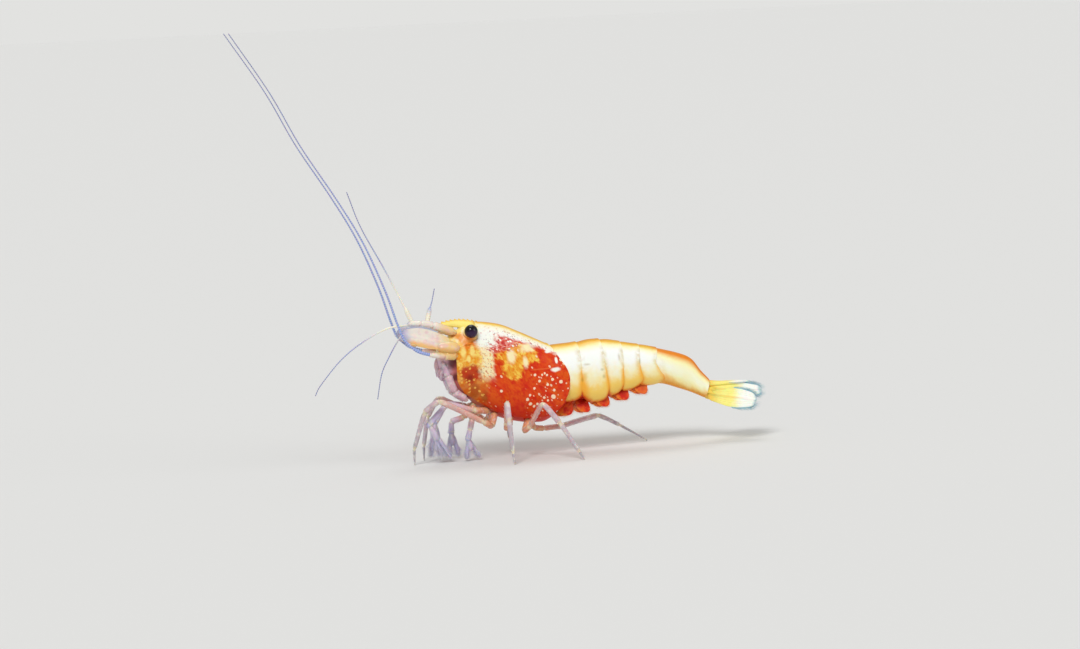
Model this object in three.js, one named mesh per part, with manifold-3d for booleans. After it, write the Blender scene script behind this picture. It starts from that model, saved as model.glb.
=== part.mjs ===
// A dwarf freshwater shrimp (family Atyidae) standing on its legs, at life size.
// Millimetres, +Z up. The head points to -X and the tail to +X. The animal's left side faces -Y.
import * as THREE from "three";
import { mergeVertices } from "three/addons/utils/BufferGeometryUtils.js";
import Module from "manifold-3d";

const wasm = await Module();
wasm.setup();

// ---------------------------------------------------------------- driving dimensions

const JOINT_GAP = 0.05; // the soft membrane left open between two shell pieces
const EDGE_GAP = 0.03; // half of that gap, counted in stations along the abdomen
const PLATE_SIDES = 16; // facets round the body
const LIMB_SIDES = 6; // facets round a leg or feeler
const THINNEST = 0.5; // the thickness of feelers, blades and the lower legs
const JOINT_NARROWING = 0.93; // how much thinner a limb is at its joints
const SHINGLE = 0.95; // a somite's front edge, as a share of its rear edge, which overlaps
const LEFT = -1;
const RIGHT = 1;

const EYE = { x: -5.47, y: 1.38, z: 9.62, radius: 0.5 };
const ORBIT_X = -4.95; // the carapace's front edge behind the eye
const CHEEK_X = -6.6; // and over the cheek
const CARAPACE_REAR_X = 0.45; // the notch in the middle of the back
const FLOOR = { length: 60, width: 30, depth: 4 }; // a block that trims the feet to flats

// Stations along the head and carapace, front to rear: where the back line and the belly line
// are, as [x, z], and half the width there.
const FOREBODY = makeBody(2.1, 2.7, [
  { back: [-7.7, 9.3], belly: [-7.35, 5.45], half: 0.85 },
  { back: [-6.2, 9.95], belly: [-6.4, 4.75], half: 1.25 },
  { back: [-4.9, 10.22], belly: [-5.1, 3.95], half: 1.6 },
  { back: [-3.1, 9.87], belly: [-3.5, 3.05], half: 1.85 },
  { back: [-1.6, 9.2], belly: [-1.9, 2.6], half: 1.95 },
  { back: [-0.3, 8.55], belly: [-0.4, 2.5], half: 1.9 },
  { back: [0.8, 8.02], belly: [0.9, 2.75], half: 1.8 },
  { back: [2.1, 7.6], belly: [2.1, 3.2], half: 1.6 },
]);

// Stations along the abdomen, which the stations of SOMITE_JOINTS count along.
const ABDOMEN = makeBody(2.2, 2.5, [
  { back: [-0.6, 7.9], belly: [-0.5, 3.7], half: 1.55 },
  { back: [0.6, 8.05], belly: [0.7, 3.75], half: 1.6 },
  { back: [2.35, 8.14], belly: [2.5, 3.6], half: 1.62 },
  { back: [3.95, 8.28], belly: [4.3, 3.65], half: 1.6 },
  { back: [5.2, 8.14], belly: [5.2, 3.98], half: 1.54 },
  { back: [6.4, 7.86], belly: [6.05, 4.22], half: 1.45 },
  { back: [8.35, 7.42], belly: [7.5, 4.5], half: 1.25 },
  { back: [10.35, 6.82], belly: [8.95, 4.52], half: 1.02 },
  { back: [11.4, 6.28], belly: [10.3, 4.12], half: 0.88 },
  { back: [12.1, 5.36], belly: [11.3, 3.74], half: 0.78 },
  { back: [12.7, 4.66], belly: [12.25, 3.28], half: 0.72 },
]);

// The joints between the somites, from the one behind somite 1 on: the station on the back,
// and how far the side lobes (pleura) carry the joint towards the tail, in stations. The
// second somite's lobes cover a little of the first's.
const SOMITE_JOINTS = [
  { station: 2.15, lobe: -0.08 },
  { station: 3.3, lobe: 0.15 },
  { station: 4.65, lobe: 0.12 },
  { station: 5.5, lobe: 0.35 },
  { station: 6.18, lobe: 0.75 },
  { station: 10, lobe: 0 },
];
const LOBE_HANG = [0, 0.15, 0.06, 0.08, 0.06, 0]; // how far each somite's lobes hang down

// ---------------------------------------------------------------- points, curves and solids

function point(x, y, z) {
  return new THREE.Vector3(x, y, z);
}

function mix(a, b, share) {
  return a + (b - a) * share;
}

function step(from, to, value) {
  return THREE.MathUtils.smoothstep(value, from, to);
}

// A smooth curve through points that are passed at whole numbers of its parameter.
function smooth(points) {
  return new THREE.CatmullRomCurve3(points, false, "catmullrom", 0.5);
}

function makeBody(roofPower, floorPower, stations) {
  return {
    roofPower,
    floorPower,
    last: stations.length - 1,
    back: smooth(stations.map((s) => new THREE.Vector3(s.back[0], 0, s.back[1]))),
    belly: smooth(stations.map((s) => new THREE.Vector3(s.belly[0], 0, s.belly[1]))),
    half: smooth(stations.map((s) => new THREE.Vector3(s.half, 0, 0))),
  };
}

// The point of a body's surface at a station, at an angle turned from the back (0) to the
// belly (PI): the section is a superellipse, with its own power above and below.
function onBody(body, station, angle, size = 1, hang = 0) {
  const share = THREE.MathUtils.clamp(station / body.last, 0, 1);
  const back = body.back.getPoint(share);
  const belly = body.belly.getPoint(share);
  belly.z -= hang;
  const half = body.half.getPoint(share).x;
  const up = Math.cos(angle);
  const out = Math.sin(angle);
  const power = 2 / (up > 0 ? body.roofPower : body.floorPower);
  const rise = Math.sign(up) * Math.abs(up) ** power * size;
  const side = Math.sign(out) * Math.abs(out) ** power * size;
  const middle = back.clone().lerp(belly, 0.5);
  const place = middle.clone().addScaledVector(back.sub(middle), rise);
  place.y = side * half;
  return place;
}

// The station at which a body's surface crosses a given x, at one angle.
function stationAtX(body, x, angle) {
  let low = 0;
  let high = body.last;
  for (let i = 0; i < 30; i++) {
    const half = (low + high) / 2;
    if (onBody(body, half, angle).x < x) low = half;
    else high = half;
  }
  return (low + high) / 2;
}

// A closed geometry through rings of points, with a fan over each end.
function loft(rings) {
  const sides = rings[0].length;
  const points = rings.flat();
  const middle = (ring) => ring.reduce((sum, p) => sum.add(p), point(0, 0, 0)).divideScalar(sides);
  const first = points.push(middle(rings[0])) - 1;
  const last = points.push(middle(rings.at(-1))) - 1;
  const tail = (rings.length - 1) * sides;
  const faces = [];
  for (let i = 0; i < sides; i++) {
    const next = (i + 1) % sides;
    for (let r = 0; r < tail; r += sides) {
      faces.push(r + i, r + next, r + sides + next, r + i, r + sides + next, r + sides + i);
    }
    faces.push(first, next, i, last, tail + i, tail + next);
  }
  return facingOut(points, faces);
}

// A geometry from points and faces, turned so that its faces point out.
function facingOut(points, faces) {
  let volume = 0;
  for (let i = 0; i < faces.length; i += 3) {
    const [a, b, c] = [points[faces[i]], points[faces[i + 1]], points[faces[i + 2]]];
    volume += a.dot(b.clone().cross(c));
  }
  if (volume < 0) faces.reverse();
  return new THREE.BufferGeometry().setFromPoints(points).setIndex(faces);
}

// A geometry that keeps only its positions, with shared vertices merged.
function welded(geometry) {
  const bare = geometry.clone();
  bare.deleteAttribute("normal");
  bare.deleteAttribute("uv");
  return mergeVertices(bare, 1e-4);
}

function toSolid(geometry) {
  const merged = welded(geometry);
  const vertProperties = merged.attributes.position.array;
  const triVerts = new Uint32Array(merged.index.array);
  return new wasm.Manifold(new wasm.Mesh({ numProp: 3, vertProperties, triVerts }));
}

function toGeometry(solid) {
  const { vertProperties, triVerts } = solid.getMesh();
  return new THREE.BufferGeometry()
    .setAttribute("position", new THREE.BufferAttribute(new Float32Array(vertProperties), 3))
    .setIndex(new THREE.BufferAttribute(new Uint32Array(triVerts), 1));
}

function join(...geometries) {
  return toGeometry(geometries.map(toSolid).reduce((all, next) => all.add(next)));
}

// The same shape with its surface moved out by the joint gap.
function grown(geometry) {
  const merged = welded(geometry);
  merged.computeVertexNormals();
  const place = merged.getAttribute("position");
  const normal = merged.getAttribute("normal");
  for (let i = 0; i < place.count; i++) {
    const moved = new THREE.Vector3().fromBufferAttribute(place, i);
    moved.addScaledVector(new THREE.Vector3().fromBufferAttribute(normal, i), JOINT_GAP);
    place.setXYZ(i, moved.x, moved.y, moved.z);
  }
  return merged;
}

// A geometry with its neighbours cut out of it, keeping its largest piece.
function fitTo(geometry, ...neighbours) {
  const cut = neighbours.reduce((rest, n) => rest.subtract(toSolid(grown(n))), toSolid(geometry));
  const pieces = cut.decompose().sort((a, b) => b.volume() - a.volume());
  return toGeometry(pieces[0]);
}

// What lies above the floor of a geometry that reaches below it: its foot becomes a flat.
function stoodOnFloor(geometry) {
  const ground = new THREE.BoxGeometry(FLOOR.length, FLOOR.width, FLOOR.depth);
  ground.translate(0, 0, -FLOOR.depth / 2);
  return toGeometry(toSolid(geometry).subtract(toSolid(ground)));
}

// ---------------------------------------------------------------- building blocks

// A shell plate between two edges. Each edge gives a station for an angle from back to belly.
// The rear edge stands proud of the next plate, as shingles do.
function plate(body, frontEdge, rearEdge, rings, sizeAt, hangAt = () => 0) {
  const sections = [];
  for (let r = 0; r <= rings; r++) {
    const share = r / rings;
    const section = [];
    for (let i = 0; i < PLATE_SIDES; i++) {
      const angle = (i / PLATE_SIDES) * 2 * Math.PI;
      const fromBack = angle > Math.PI ? 2 * Math.PI - angle : angle;
      const station = mix(frontEdge(fromBack), rearEdge(fromBack), share);
      section.push(onBody(body, station, angle, sizeAt(share), hangAt(share)));
    }
    sections.push(section);
  }
  return loft(sections);
}

// A round tube along points, with a radius at each.
function tube(path, radii) {
  let normal = point(0.13, 1, 0.21);
  const rings = path.map((place, i) => {
    const before = path[Math.max(i - 1, 0)];
    const after = path[Math.min(i + 1, path.length - 1)];
    const along = after.clone().sub(before).normalize();
    normal = normal.clone().addScaledVector(along, -normal.dot(along)).normalize();
    const across = along.clone().cross(normal);
    return Array.from({ length: LIMB_SIDES }, (_, k) => {
      const turn = (k / LIMB_SIDES) * 2 * Math.PI;
      return place
        .clone()
        .addScaledVector(normal, Math.cos(turn) * radii[i])
        .addScaledVector(across, Math.sin(turn) * radii[i]);
    });
  });
  return loft(rings);
}

// A jointed limb: straight segments that are a little narrower at each joint.
function limb(joints, radii) {
  const path = [];
  const widths = [];
  joints.slice(0, -1).forEach((start, i) => {
    const end = joints[i + 1];
    path.push(start.clone(), start.clone().lerp(end, 0.3));
    widths.push(Math.min(radii[i], radii[Math.max(i - 1, 0)]) * JOINT_NARROWING, radii[i]);
  });
  path.push(joints.at(-1).clone());
  widths.push(radii.at(-1));
  return tube(path, widths);
}

// A feeler (flagellum) along a smooth curve through points, a little thicker at its root.
function feeler(points, pieces, rootRadius) {
  const path = smooth(points).getSpacedPoints(pieces);
  const radii = path.map((_, i) => mix(rootRadius, THINNEST / 2, Math.min(1, (3 * i) / pieces)));
  return tube(path, radii);
}

// A flat blade from a root to a tip, whose width follows a leaf outline. It is widest along
// `hang`, and its end is `blunt` times as wide as its middle.
function blade({ root, tip, hang, width, blunt, rings = 5, sides = 8 }) {
  const along = tip.clone().sub(root).normalize();
  const flat = hang.clone().addScaledVector(along, -hang.dot(along)).normalize();
  const thin = along.clone().cross(flat);
  const sections = [];
  for (let r = 0; r <= rings; r++) {
    const share = r / rings;
    const outline = mix(0.55, 1, step(0, 0.55, share)) * mix(1, blunt, step(0.7, 1, share));
    const centre = root.clone().lerp(tip, share);
    sections.push(
      Array.from({ length: sides }, (_, k) => {
        const turn = (k / sides) * 2 * Math.PI;
        const c = Math.cos(turn);
        const s = Math.sin(turn);
        return centre
          .clone()
          .addScaledVector(flat, (c * outline * width) / 2)
          .addScaledVector(thin, (Math.sign(s) * Math.sqrt(Math.abs(s)) * THINNEST) / 2);
      }),
    );
  }
  return loft(sections);
}

// ---------------------------------------------------------------- head and thorax

// The carapace's front edge: set back round the eye, forward over the cheek, and rounded
// back again to the belly.
function carapaceFrontX(fromBack) {
  const degrees = THREE.MathUtils.radToDeg(fromBack);
  const corner = 1.1 * step(112, 175, degrees);
  return mix(ORBIT_X, CHEEK_X, step(52, 72, degrees)) + corner;
}

// The carapace's rear edge: notched on the back and drawn forward at the belly.
function carapaceRearX(fromBack) {
  const bulge = 1.42 * Math.sin(fromBack) ** 2;
  const drawnForward = 0.77 * (fromBack / Math.PI) ** 2;
  return CARAPACE_REAR_X + bulge - drawnForward;
}

// The rostrum: an upright blade with a low arched and toothed upper edge and a blunt tip.
function makeRostrum() {
  const teeth = 5;
  const crest = { x: -6.3, z: 10.44 };
  const outline = new THREE.Shape();
  outline.moveTo(-3.9, 9.4);
  outline.lineTo(-3.9, 10.12);
  outline.quadraticCurveTo(-4.7, 10.36, -5.2, 10.42);
  for (let tooth = 0; tooth < teeth; tooth++) {
    const x = mix(-5.5, -7.1, tooth / (teeth - 1));
    const top = crest.z - 0.12 * (x - crest.x) ** 2;
    outline.lineTo(x + 0.1, top - 0.05);
    outline.lineTo(x, top + 0.07);
  }
  outline.lineTo(-7.66, 10.16);
  outline.lineTo(-7.66, 10.06);
  outline.quadraticCurveTo(-6.6, 9.86, -5.6, 9.6);
  const options = { depth: THINNEST, bevelEnabled: false, curveSegments: 4 };
  const rostrum = new THREE.ExtrudeGeometry(outline, options);
  return rostrum.translate(0, 0, -THINNEST / 2).rotateX(Math.PI / 2);
}

function makeCarapace() {
  const front = (angle) => stationAtX(FOREBODY, carapaceFrontX(angle), angle);
  const rear = (angle) => stationAtX(FOREBODY, carapaceRearX(angle), angle);
  const rings = 11;
  const size = (share) => mix(0.985, 1, step(0, 0.3, share));
  const shell = plate(FOREBODY, front, rear, rings, size);
  return join(shell, makeRostrum());
}

// The head in front of the carapace: it is a tenth smaller, and reaches a little under it.
function makeHead() {
  const rings = 5;
  const underCarapace = 0.3;
  const front = () => 0;
  const rear = (angle) => stationAtX(FOREBODY, carapaceFrontX(angle) + underCarapace, angle);
  const size = (share) => 0.9 * mix(0.72, 1, step(-0.25, 0.5, share));
  return plate(FOREBODY, front, rear, rings, size);
}

// The sternum and leg sockets that show below the carapace.
function makeThorax() {
  const body = makeBody(2, 2.4, [
    { back: [-6.3, 5.6], belly: [-6.1, 4.25], half: 0.7 },
    { back: [-5.2, 5.0], belly: [-5.1, 3.5], half: 0.95 },
    { back: [-3.8, 4.6], belly: [-3.8, 2.75], half: 1.1 },
    { back: [-2.2, 4.4], belly: [-2.2, 2.2], half: 1.15 },
    { back: [-0.8, 4.3], belly: [-0.8, 2.0], half: 1.15 },
    { back: [0.4, 4.3], belly: [0.3, 2.45], half: 0.95 },
  ]);
  const rings = 6;
  return plate(body, () => 0, () => body.last, rings, () => 1);
}

function makeMouthparts() {
  const path = [point(-6.0, 0, 5.1), point(-6.75, 0, 5.35), point(-7.15, 0, 5.85)];
  return tube(path, [0.5, 0.45, 0.3]);
}

function makeEye(side) {
  const ball = new THREE.SphereGeometry(EYE.radius, 12, 8);
  return ball.translate(EYE.x, side * EYE.y, EYE.z);
}

function makeEyestalk(side) {
  const path = [
    point(-5.6, side * 0.3, 9.35),
    point(-5.56, side * 0.72, 9.45),
    point(EYE.x, side * (EYE.y - 0.12), EYE.z - 0.03),
  ];
  return tube(path, [0.3, 0.34, 0.4]);
}

// ---------------------------------------------------------------- feelers and mouth limbs

// The right antennule is drawn back a little, so its stem ends behind the left one's.
const ANTENNULE_JOINTS = {
  left: [
    point(-6.6, -0.42, 9.45),
    point(-8.1, -0.45, 10.02),
    point(-9.0, -0.45, 10.18),
    point(-9.75, -0.45, 10.22),
  ],
  right: [
    point(-6.6, 0.42, 9.45),
    point(-7.55, 0.45, 9.8),
    point(-8.15, 0.45, 10.05),
    point(-8.6, 0.45, 10.18),
  ],
};

function makeAntennule(joints) {
  const radii = [0.42, 0.36, 0.32];
  return limb(joints, radii);
}

// The two feelers of each antennule: where each one starts and the points that it passes.
const ANTENNULE_FEELERS = [
  {
    name: "antennule_left_outer_flagellum",
    root: 0.3,
    pieces: 12,
    points: [
      point(-9.72, -0.5, 10.45),
      point(-10.3, -0.55, 11.95),
      point(-11.6, -0.6, 14.7),
      point(-13.1, -0.7, 17.7),
      point(-14.0, -0.8, 20.3),
    ],
  },
  {
    name: "antennule_left_inner_flagellum",
    root: 0.27,
    pieces: 10,
    points: [
      point(-9.95, -0.42, 10.12),
      point(-11.5, -0.35, 10.15),
      point(-13.4, -0.3, 9.25),
      point(-15.05, -0.3, 8.05),
      point(-16.6, -0.3, 6.35),
      point(-17.05, -0.3, 5.6),
    ],
  },
  {
    name: "antennule_right_outer_flagellum",
    root: 0.3,
    pieces: 5,
    points: [
      point(-8.32, 0.62, 10.5),
      point(-8.12, 0.8, 11.1),
      point(-7.86, 1.0, 11.75),
      point(-7.58, 1.2, 12.7),
    ],
  },
  {
    name: "antennule_right_inner_flagellum",
    root: 0.27,
    pieces: 9,
    points: [
      point(-8.85, 0.42, 10.2),
      point(-9.9, 0.2, 10.0),
      point(-10.65, 0.1, 9.2),
      point(-11.4, 0.1, 8.0),
      point(-12.0, 0.15, 6.8),
      point(-12.4, 0.2, 4.95),
    ],
  },
];

function makeAntennalScale(side) {
  return blade({
    root: point(-7.05, side * 1.02, 8.7),
    tip: point(-10.55, side * 0.98, 9.72),
    hang: point(0, side * 0.5, -1),
    width: 1.5,
    blunt: 0.62,
  });
}

function makeAntennaBase(side) {
  const joints = [
    point(-6.6, side * 0.9, 7.7),
    point(-7.6, side * 1.25, 7.95),
    point(-8.45, side * 1.5, 8.08),
  ];
  const radii = [0.42, 0.34];
  return limb(joints, radii);
}

// The long antennal feelers sweep forward and up, side by side, in one shallow arc.
function makeAntenna(side) {
  const points = [
    point(-8.55, side * 1.52, 8.1),
    point(-9.6, side * 1.72, 8.5),
    point(-10.45, side * 1.72, 9.3),
    point(-10.95, side * 1.6, 10.6),
    point(-11.75, side * 1.5, 13.2),
    point(-13.13, side * 1.4, 16.67),
    point(-14.84, side * 1.35, 19.84),
    point(-17.25, side * 1.35, 23.84),
    point(-19.27, side * 1.4, 27.8),
    point(-21.97, side * 1.6, 32.15),
  ];
  const pieces = 20;
  return feeler(points, pieces, THINNEST / 2);
}

function makeMaxilliped(side) {
  const joints = [
    point(-6.15, side * 0.72, 4.55),
    point(-6.95, side * 0.82, 5.2),
    point(-7.5, side * 0.8, 6.4),
    point(-7.85, side * 0.72, 7.3),
  ];
  const radii = [0.3, 0.28, 0.26];
  return limb(joints, radii);
}

// ---------------------------------------------------------------- legs

const LEG_RADII = [0.34, 0.32, 0.3, 0.27, THINNEST / 2, THINNEST / 2];
const ARM_RADII = [0.32, 0.3, 0.28, 0.34];
const FINGER_RADII = [0.22, 0.26, THINNEST / 2];

// Each walking leg's joints, from its socket to its foot. The last one is below the floor
// where the foot stands upright, so that it is trimmed to a flat.
const WALKING_LEGS = {
  leg_3_left: [
    point(-3.8, -0.7, 3.4),
    point(-4.7, -2.0, 2.95),
    point(-8.2, -2.05, 4.72),
    point(-9.25, -1.6, 3.95),
    point(-10.08, -1.0, 1.2),
    point(-10.08, -0.85, -0.1),
  ],
  leg_3_right: [
    point(-3.8, 0.7, 3.4),
    point(-4.7, 1.95, 2.95),
    point(-7.55, 1.9, 4.45),
    point(-8.55, 1.5, 3.2),
    point(-9.0, 1.1, 1.1),
    point(-9.05, 1.02, -0.1),
  ],
  leg_4_left: [
    point(-2.45, -0.7, 3.1),
    point(-3.0, -1.9, 2.35),
    point(-3.42, -3.2, 4.42),
    point(-3.44, -3.7, 3.2),
    point(-3.38, -4.35, 0.85),
    point(-3.32, -4.5, -0.1),
  ],
  leg_4_right: [
    point(-2.3, 0.7, 3.1),
    point(-2.3, 1.85, 2.35),
    point(-2.5, 2.55, 4.1),
    point(-2.35, 2.75, 2.9),
    point(-2.08, 2.98, 0.85),
    point(-2.0, 3.02, -0.1),
  ],
  leg_5_left: [
    point(-1.05, -0.6, 3.0),
    point(-1.3, -1.95, 2.1),
    point(-0.79, -3.35, 4.15),
    point(0.3, -3.9, 2.7),
    point(1.5, -4.6, 0.6),
    point(1.86, -4.78, -0.1),
  ],
  leg_5_right: [
    point(-0.9, 0.6, 2.9),
    point(-0.3, 1.25, 1.72),
    point(1.45, 1.6, 1.68),
    point(4.54, 2.0, 2.24),
    point(6.2, 2.0, 1.36),
    point(8.35, 1.85, 0.1),
  ],
};

// Each claw leg's joints from its socket to its wrist, and the tips of its two fingers.
const CLAW_LEGS = {
  leg_1_left: {
    joints: [
      point(-5.4, -0.35, 4.0),
      point(-5.65, -0.85, 3.05),
      point(-5.88, -1.15, 2.35),
      point(-6.05, -1.1, 1.7),
    ],
    tips: [point(-6.2, -1.05, 0.32), point(-5.25, -0.85, 0.3)],
  },
  leg_1_right: {
    joints: [
      point(-5.4, 0.35, 4.0),
      point(-6.0, 0.6, 3.1),
      point(-6.85, 0.9, 2.75),
      point(-6.93, 0.85, 2.0),
    ],
    tips: [point(-7.15, 0.8, 0.45), point(-6.55, 0.7, 0.4)],
  },
  leg_2_left: {
    joints: [
      point(-4.4, -0.6, 3.6),
      point(-5.6, -1.35, 3.8),
      point(-7.55, -1.25, 4.3),
      point(-8.9, -1.1, 2.95),
    ],
    tips: [point(-8.1, -0.95, 0.95), point(-7.4, -0.85, 0.42)],
  },
  leg_2_right: {
    joints: [
      point(-4.4, 0.6, 3.6),
      point(-5.6, 1.3, 3.8),
      point(-7.2, 0.95, 4.05),
      point(-8.2, 0.45, 2.9),
    ],
    tips: [point(-8.55, 0.3, 0.75), point(-8.0, 0.2, 0.75)],
  },
};

function makeWalkingLeg(joints) {
  return stoodOnFloor(limb(joints, LEG_RADII));
}

// A claw leg: a jointed arm, a palm, and two fingers that part from it.
function makeClawLeg({ joints, tips }) {
  const wrist = joints.at(-1);
  const reach = tips[0].clone().add(tips[1]).multiplyScalar(0.5);
  const palmEnd = wrist.clone().lerp(reach, 0.4);
  const arm = limb([...joints, palmEnd], ARM_RADII);
  const fingers = tips.map((tip) => {
    const inPalm = wrist.clone().lerp(palmEnd, 0.55);
    const knuckle = palmEnd.clone().lerp(tip, 0.12);
    return tube([inPalm, knuckle, tip], FINGER_RADII);
  });
  return join(arm, ...fingers);
}

// ---------------------------------------------------------------- abdomen and tail

// How much of a joint's side lobe there is at an angle: none on the back, all at the sides.
function sideLobe(fromBack) {
  return step(70, 125, THREE.MathUtils.radToDeg(fromBack));
}

// The station of the joint behind a somite, at an angle.
function jointStation(somite, fromBack) {
  const { station, lobe } = SOMITE_JOINTS[somite];
  return station + lobe * sideLobe(fromBack);
}

// A somite's shell. The first one starts a little under the carapace.
function makeSomite(somite) {
  const underCarapace = 0.3;
  const front = (angle) =>
    somite > 0
      ? jointStation(somite - 1, angle) + EDGE_GAP
      : stationAtX(ABDOMEN, carapaceRearX(angle) - underCarapace, angle);
  const rear = (angle) => jointStation(somite, angle) - EDGE_GAP;
  const rings = somite === SOMITE_JOINTS.length - 1 ? 7 : 5;
  const size = (share) => mix(SHINGLE, 1, step(0, 0.8, share));
  const hang = (share) => LOBE_HANG[somite] * Math.sin(Math.PI * share);
  return plate(ABDOMEN, front, rear, rings, size, hang);
}

// The swimming legs hang under somites 1 to 5 and lean forward, each a flat paddle.
const SWIMMERETS = [
  { root: [2.15, 4.1], tip: [1.0, 2.85] },
  { root: [3.5, 3.85], tip: [2.35, 3.12] },
  { root: [5.1, 4.2], tip: [3.8, 3.45] },
  { root: [6.6, 4.6], tip: [5.3, 3.82] },
  { root: [8.1, 4.85], tip: [6.75, 4.24] },
];

function makeSwimmeret({ root, tip }, side) {
  return blade({
    root: point(root[0], side * 0.72, root[1]),
    tip: point(tip[0], side * 0.78, tip[1]),
    hang: point(0.6, side * 0.35, -1),
    width: 0.95,
    blunt: 0.7,
    rings: 3,
    sides: 6,
  });
}

function makeTelson() {
  return blade({
    root: point(12.55, 0, 4.3),
    tip: point(15.9, 0, 4.14),
    hang: point(0, 1, 0),
    width: 1.0,
    blunt: 0.6,
  });
}

// The tail fan's inner and outer blades, folded down like a roof on each side of the telson.
function makeInnerBlade(side) {
  return blade({
    root: point(12.5, side * 0.45, 3.84),
    tip: point(16.5, side * 0.95, 3.62),
    hang: point(0, side * 0.9, -1),
    width: 1.3,
    blunt: 0.62,
  });
}

function makeOuterBlade(side) {
  return blade({
    root: point(12.45, side * 0.6, 3.4),
    tip: point(15.9, side * 1.6, 2.9),
    hang: point(0, side * 0.5, -1),
    width: 1.5,
    blunt: 0.72,
  });
}

// ---------------------------------------------------------------- colours

const SHELL_ORANGE = shellMaterial("#d8451a", 0.35);
const HEAD_YELLOW = shellMaterial("#e8a63c", 0.4);
const ABDOMEN_CREAM = shellMaterial("#f4e3ae", 0.35);
const TAIL_YELLOW = shellMaterial("#f0cf6a", 0.4);
const SWIMMERET_RED = shellMaterial("#d9662c", 0.5);
const LIMB_PALE = shellMaterial("#c9b9c4", 0.3);
const FEELER_BLUE = shellMaterial("#9fb0d8", 0.4);
const EYE_BLACK = shellMaterial("#1a0d1c", 0.12);

function shellMaterial(color, roughness) {
  return new THREE.MeshStandardMaterial({ color, roughness, metalness: 0 });
}

// ---------------------------------------------------------------- assembly

const shrimp = new THREE.Group();

function add(name, geometry, material) {
  const mesh = new THREE.Mesh(geometry, material);
  mesh.name = name;
  shrimp.add(mesh);
  return geometry;
}

const carapace = add("carapace", makeCarapace(), SHELL_ORANGE);
const head = add("head", fitTo(makeHead(), carapace), HEAD_YELLOW);
const somites = SOMITE_JOINTS.map((_, i) =>
  add(`somite_${i + 1}`, fitTo(makeSomite(i), carapace), ABDOMEN_CREAM),
);
const thorax = add("thorax", fitTo(makeThorax(), carapace, head, somites[0]), SHELL_ORANGE);
const mouth = add("mouthparts", fitTo(makeMouthparts(), carapace, head, thorax), LIMB_PALE);
const lastSomite = somites.at(-1);
const telson = add("telson", fitTo(makeTelson(), lastSomite), TAIL_YELLOW);

function addEye(word, side) {
  const eye = add(`eye_${word}`, makeEye(side), EYE_BLACK);
  return add(`eyestalk_${word}`, fitTo(makeEyestalk(side), eye, head, carapace), HEAD_YELLOW);
}

function addAntennule(word, eyestalk) {
  const stem = fitTo(makeAntennule(ANTENNULE_JOINTS[word]), head, carapace, eyestalk);
  add(`antennule_${word}`, stem, LIMB_PALE);
  for (const { name, points, pieces, root } of ANTENNULE_FEELERS) {
    if (name.includes(word)) add(name, fitTo(feeler(points, pieces, root), stem), FEELER_BLUE);
  }
  return stem;
}

function addAntenna(word, side, antennule) {
  const base = fitTo(makeAntennaBase(side), head, carapace);
  add(`antenna_base_${word}`, base, HEAD_YELLOW);
  const scale = fitTo(makeAntennalScale(side), head, carapace, antennule, base);
  add(`antennal_scale_${word}`, scale, LIMB_PALE);
  add(`antenna_${word}`, fitTo(makeAntenna(side), base, scale), FEELER_BLUE);
  return base;
}

function addTailBlades(word, side) {
  const inner = fitTo(makeInnerBlade(side), lastSomite, telson);
  const outer = fitTo(makeOuterBlade(side), lastSomite, telson, inner);
  add(`uropod_inner_${word}`, inner, TAIL_YELLOW);
  add(`uropod_outer_${word}`, outer, TAIL_YELLOW);
}

for (const [word, side] of Object.entries({ left: LEFT, right: RIGHT })) {
  const eyestalk = addEye(word, side);
  const antennule = addAntennule(word, eyestalk);
  const base = addAntenna(word, side, antennule);
  const maxilliped = fitTo(makeMaxilliped(side), head, carapace, thorax, mouth, base);
  add(`maxilliped_${word}`, maxilliped, LIMB_PALE);
  SWIMMERETS.forEach((details, i) => {
    const paddle = fitTo(makeSwimmeret(details, side), carapace, thorax, ...somites);
    add(`swimmeret_${i + 1}_${word}`, paddle, SWIMMERET_RED);
  });
  addTailBlades(word, side);
}

for (const [name, joints] of Object.entries(WALKING_LEGS)) {
  add(name, fitTo(makeWalkingLeg(joints), carapace, thorax), LIMB_PALE);
}
for (const [name, details] of Object.entries(CLAW_LEGS)) {
  add(name, fitTo(makeClawLeg(details), carapace, thorax), LIMB_PALE);
}

// The origin is under the middle of the whole animal, on the floor.
const bounds = new THREE.Box3().setFromObject(shrimp);
const middle = bounds.getCenter(new THREE.Vector3());
shrimp.children.forEach((mesh) => mesh.position.set(-middle.x, -middle.y, -bounds.min.z));

export default shrimp;
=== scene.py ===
"""The looks of a dwarf freshwater shrimp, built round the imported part.

Shapes are made in millimetres in the animal's own frame, +X to the tail, -Y to its left and
+Z up from the floor, and are moved into the part's frame, in metres, when a piece is made.
"""

import math

import bpy
import numpy as np
from mathutils import Matrix, Vector


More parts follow.
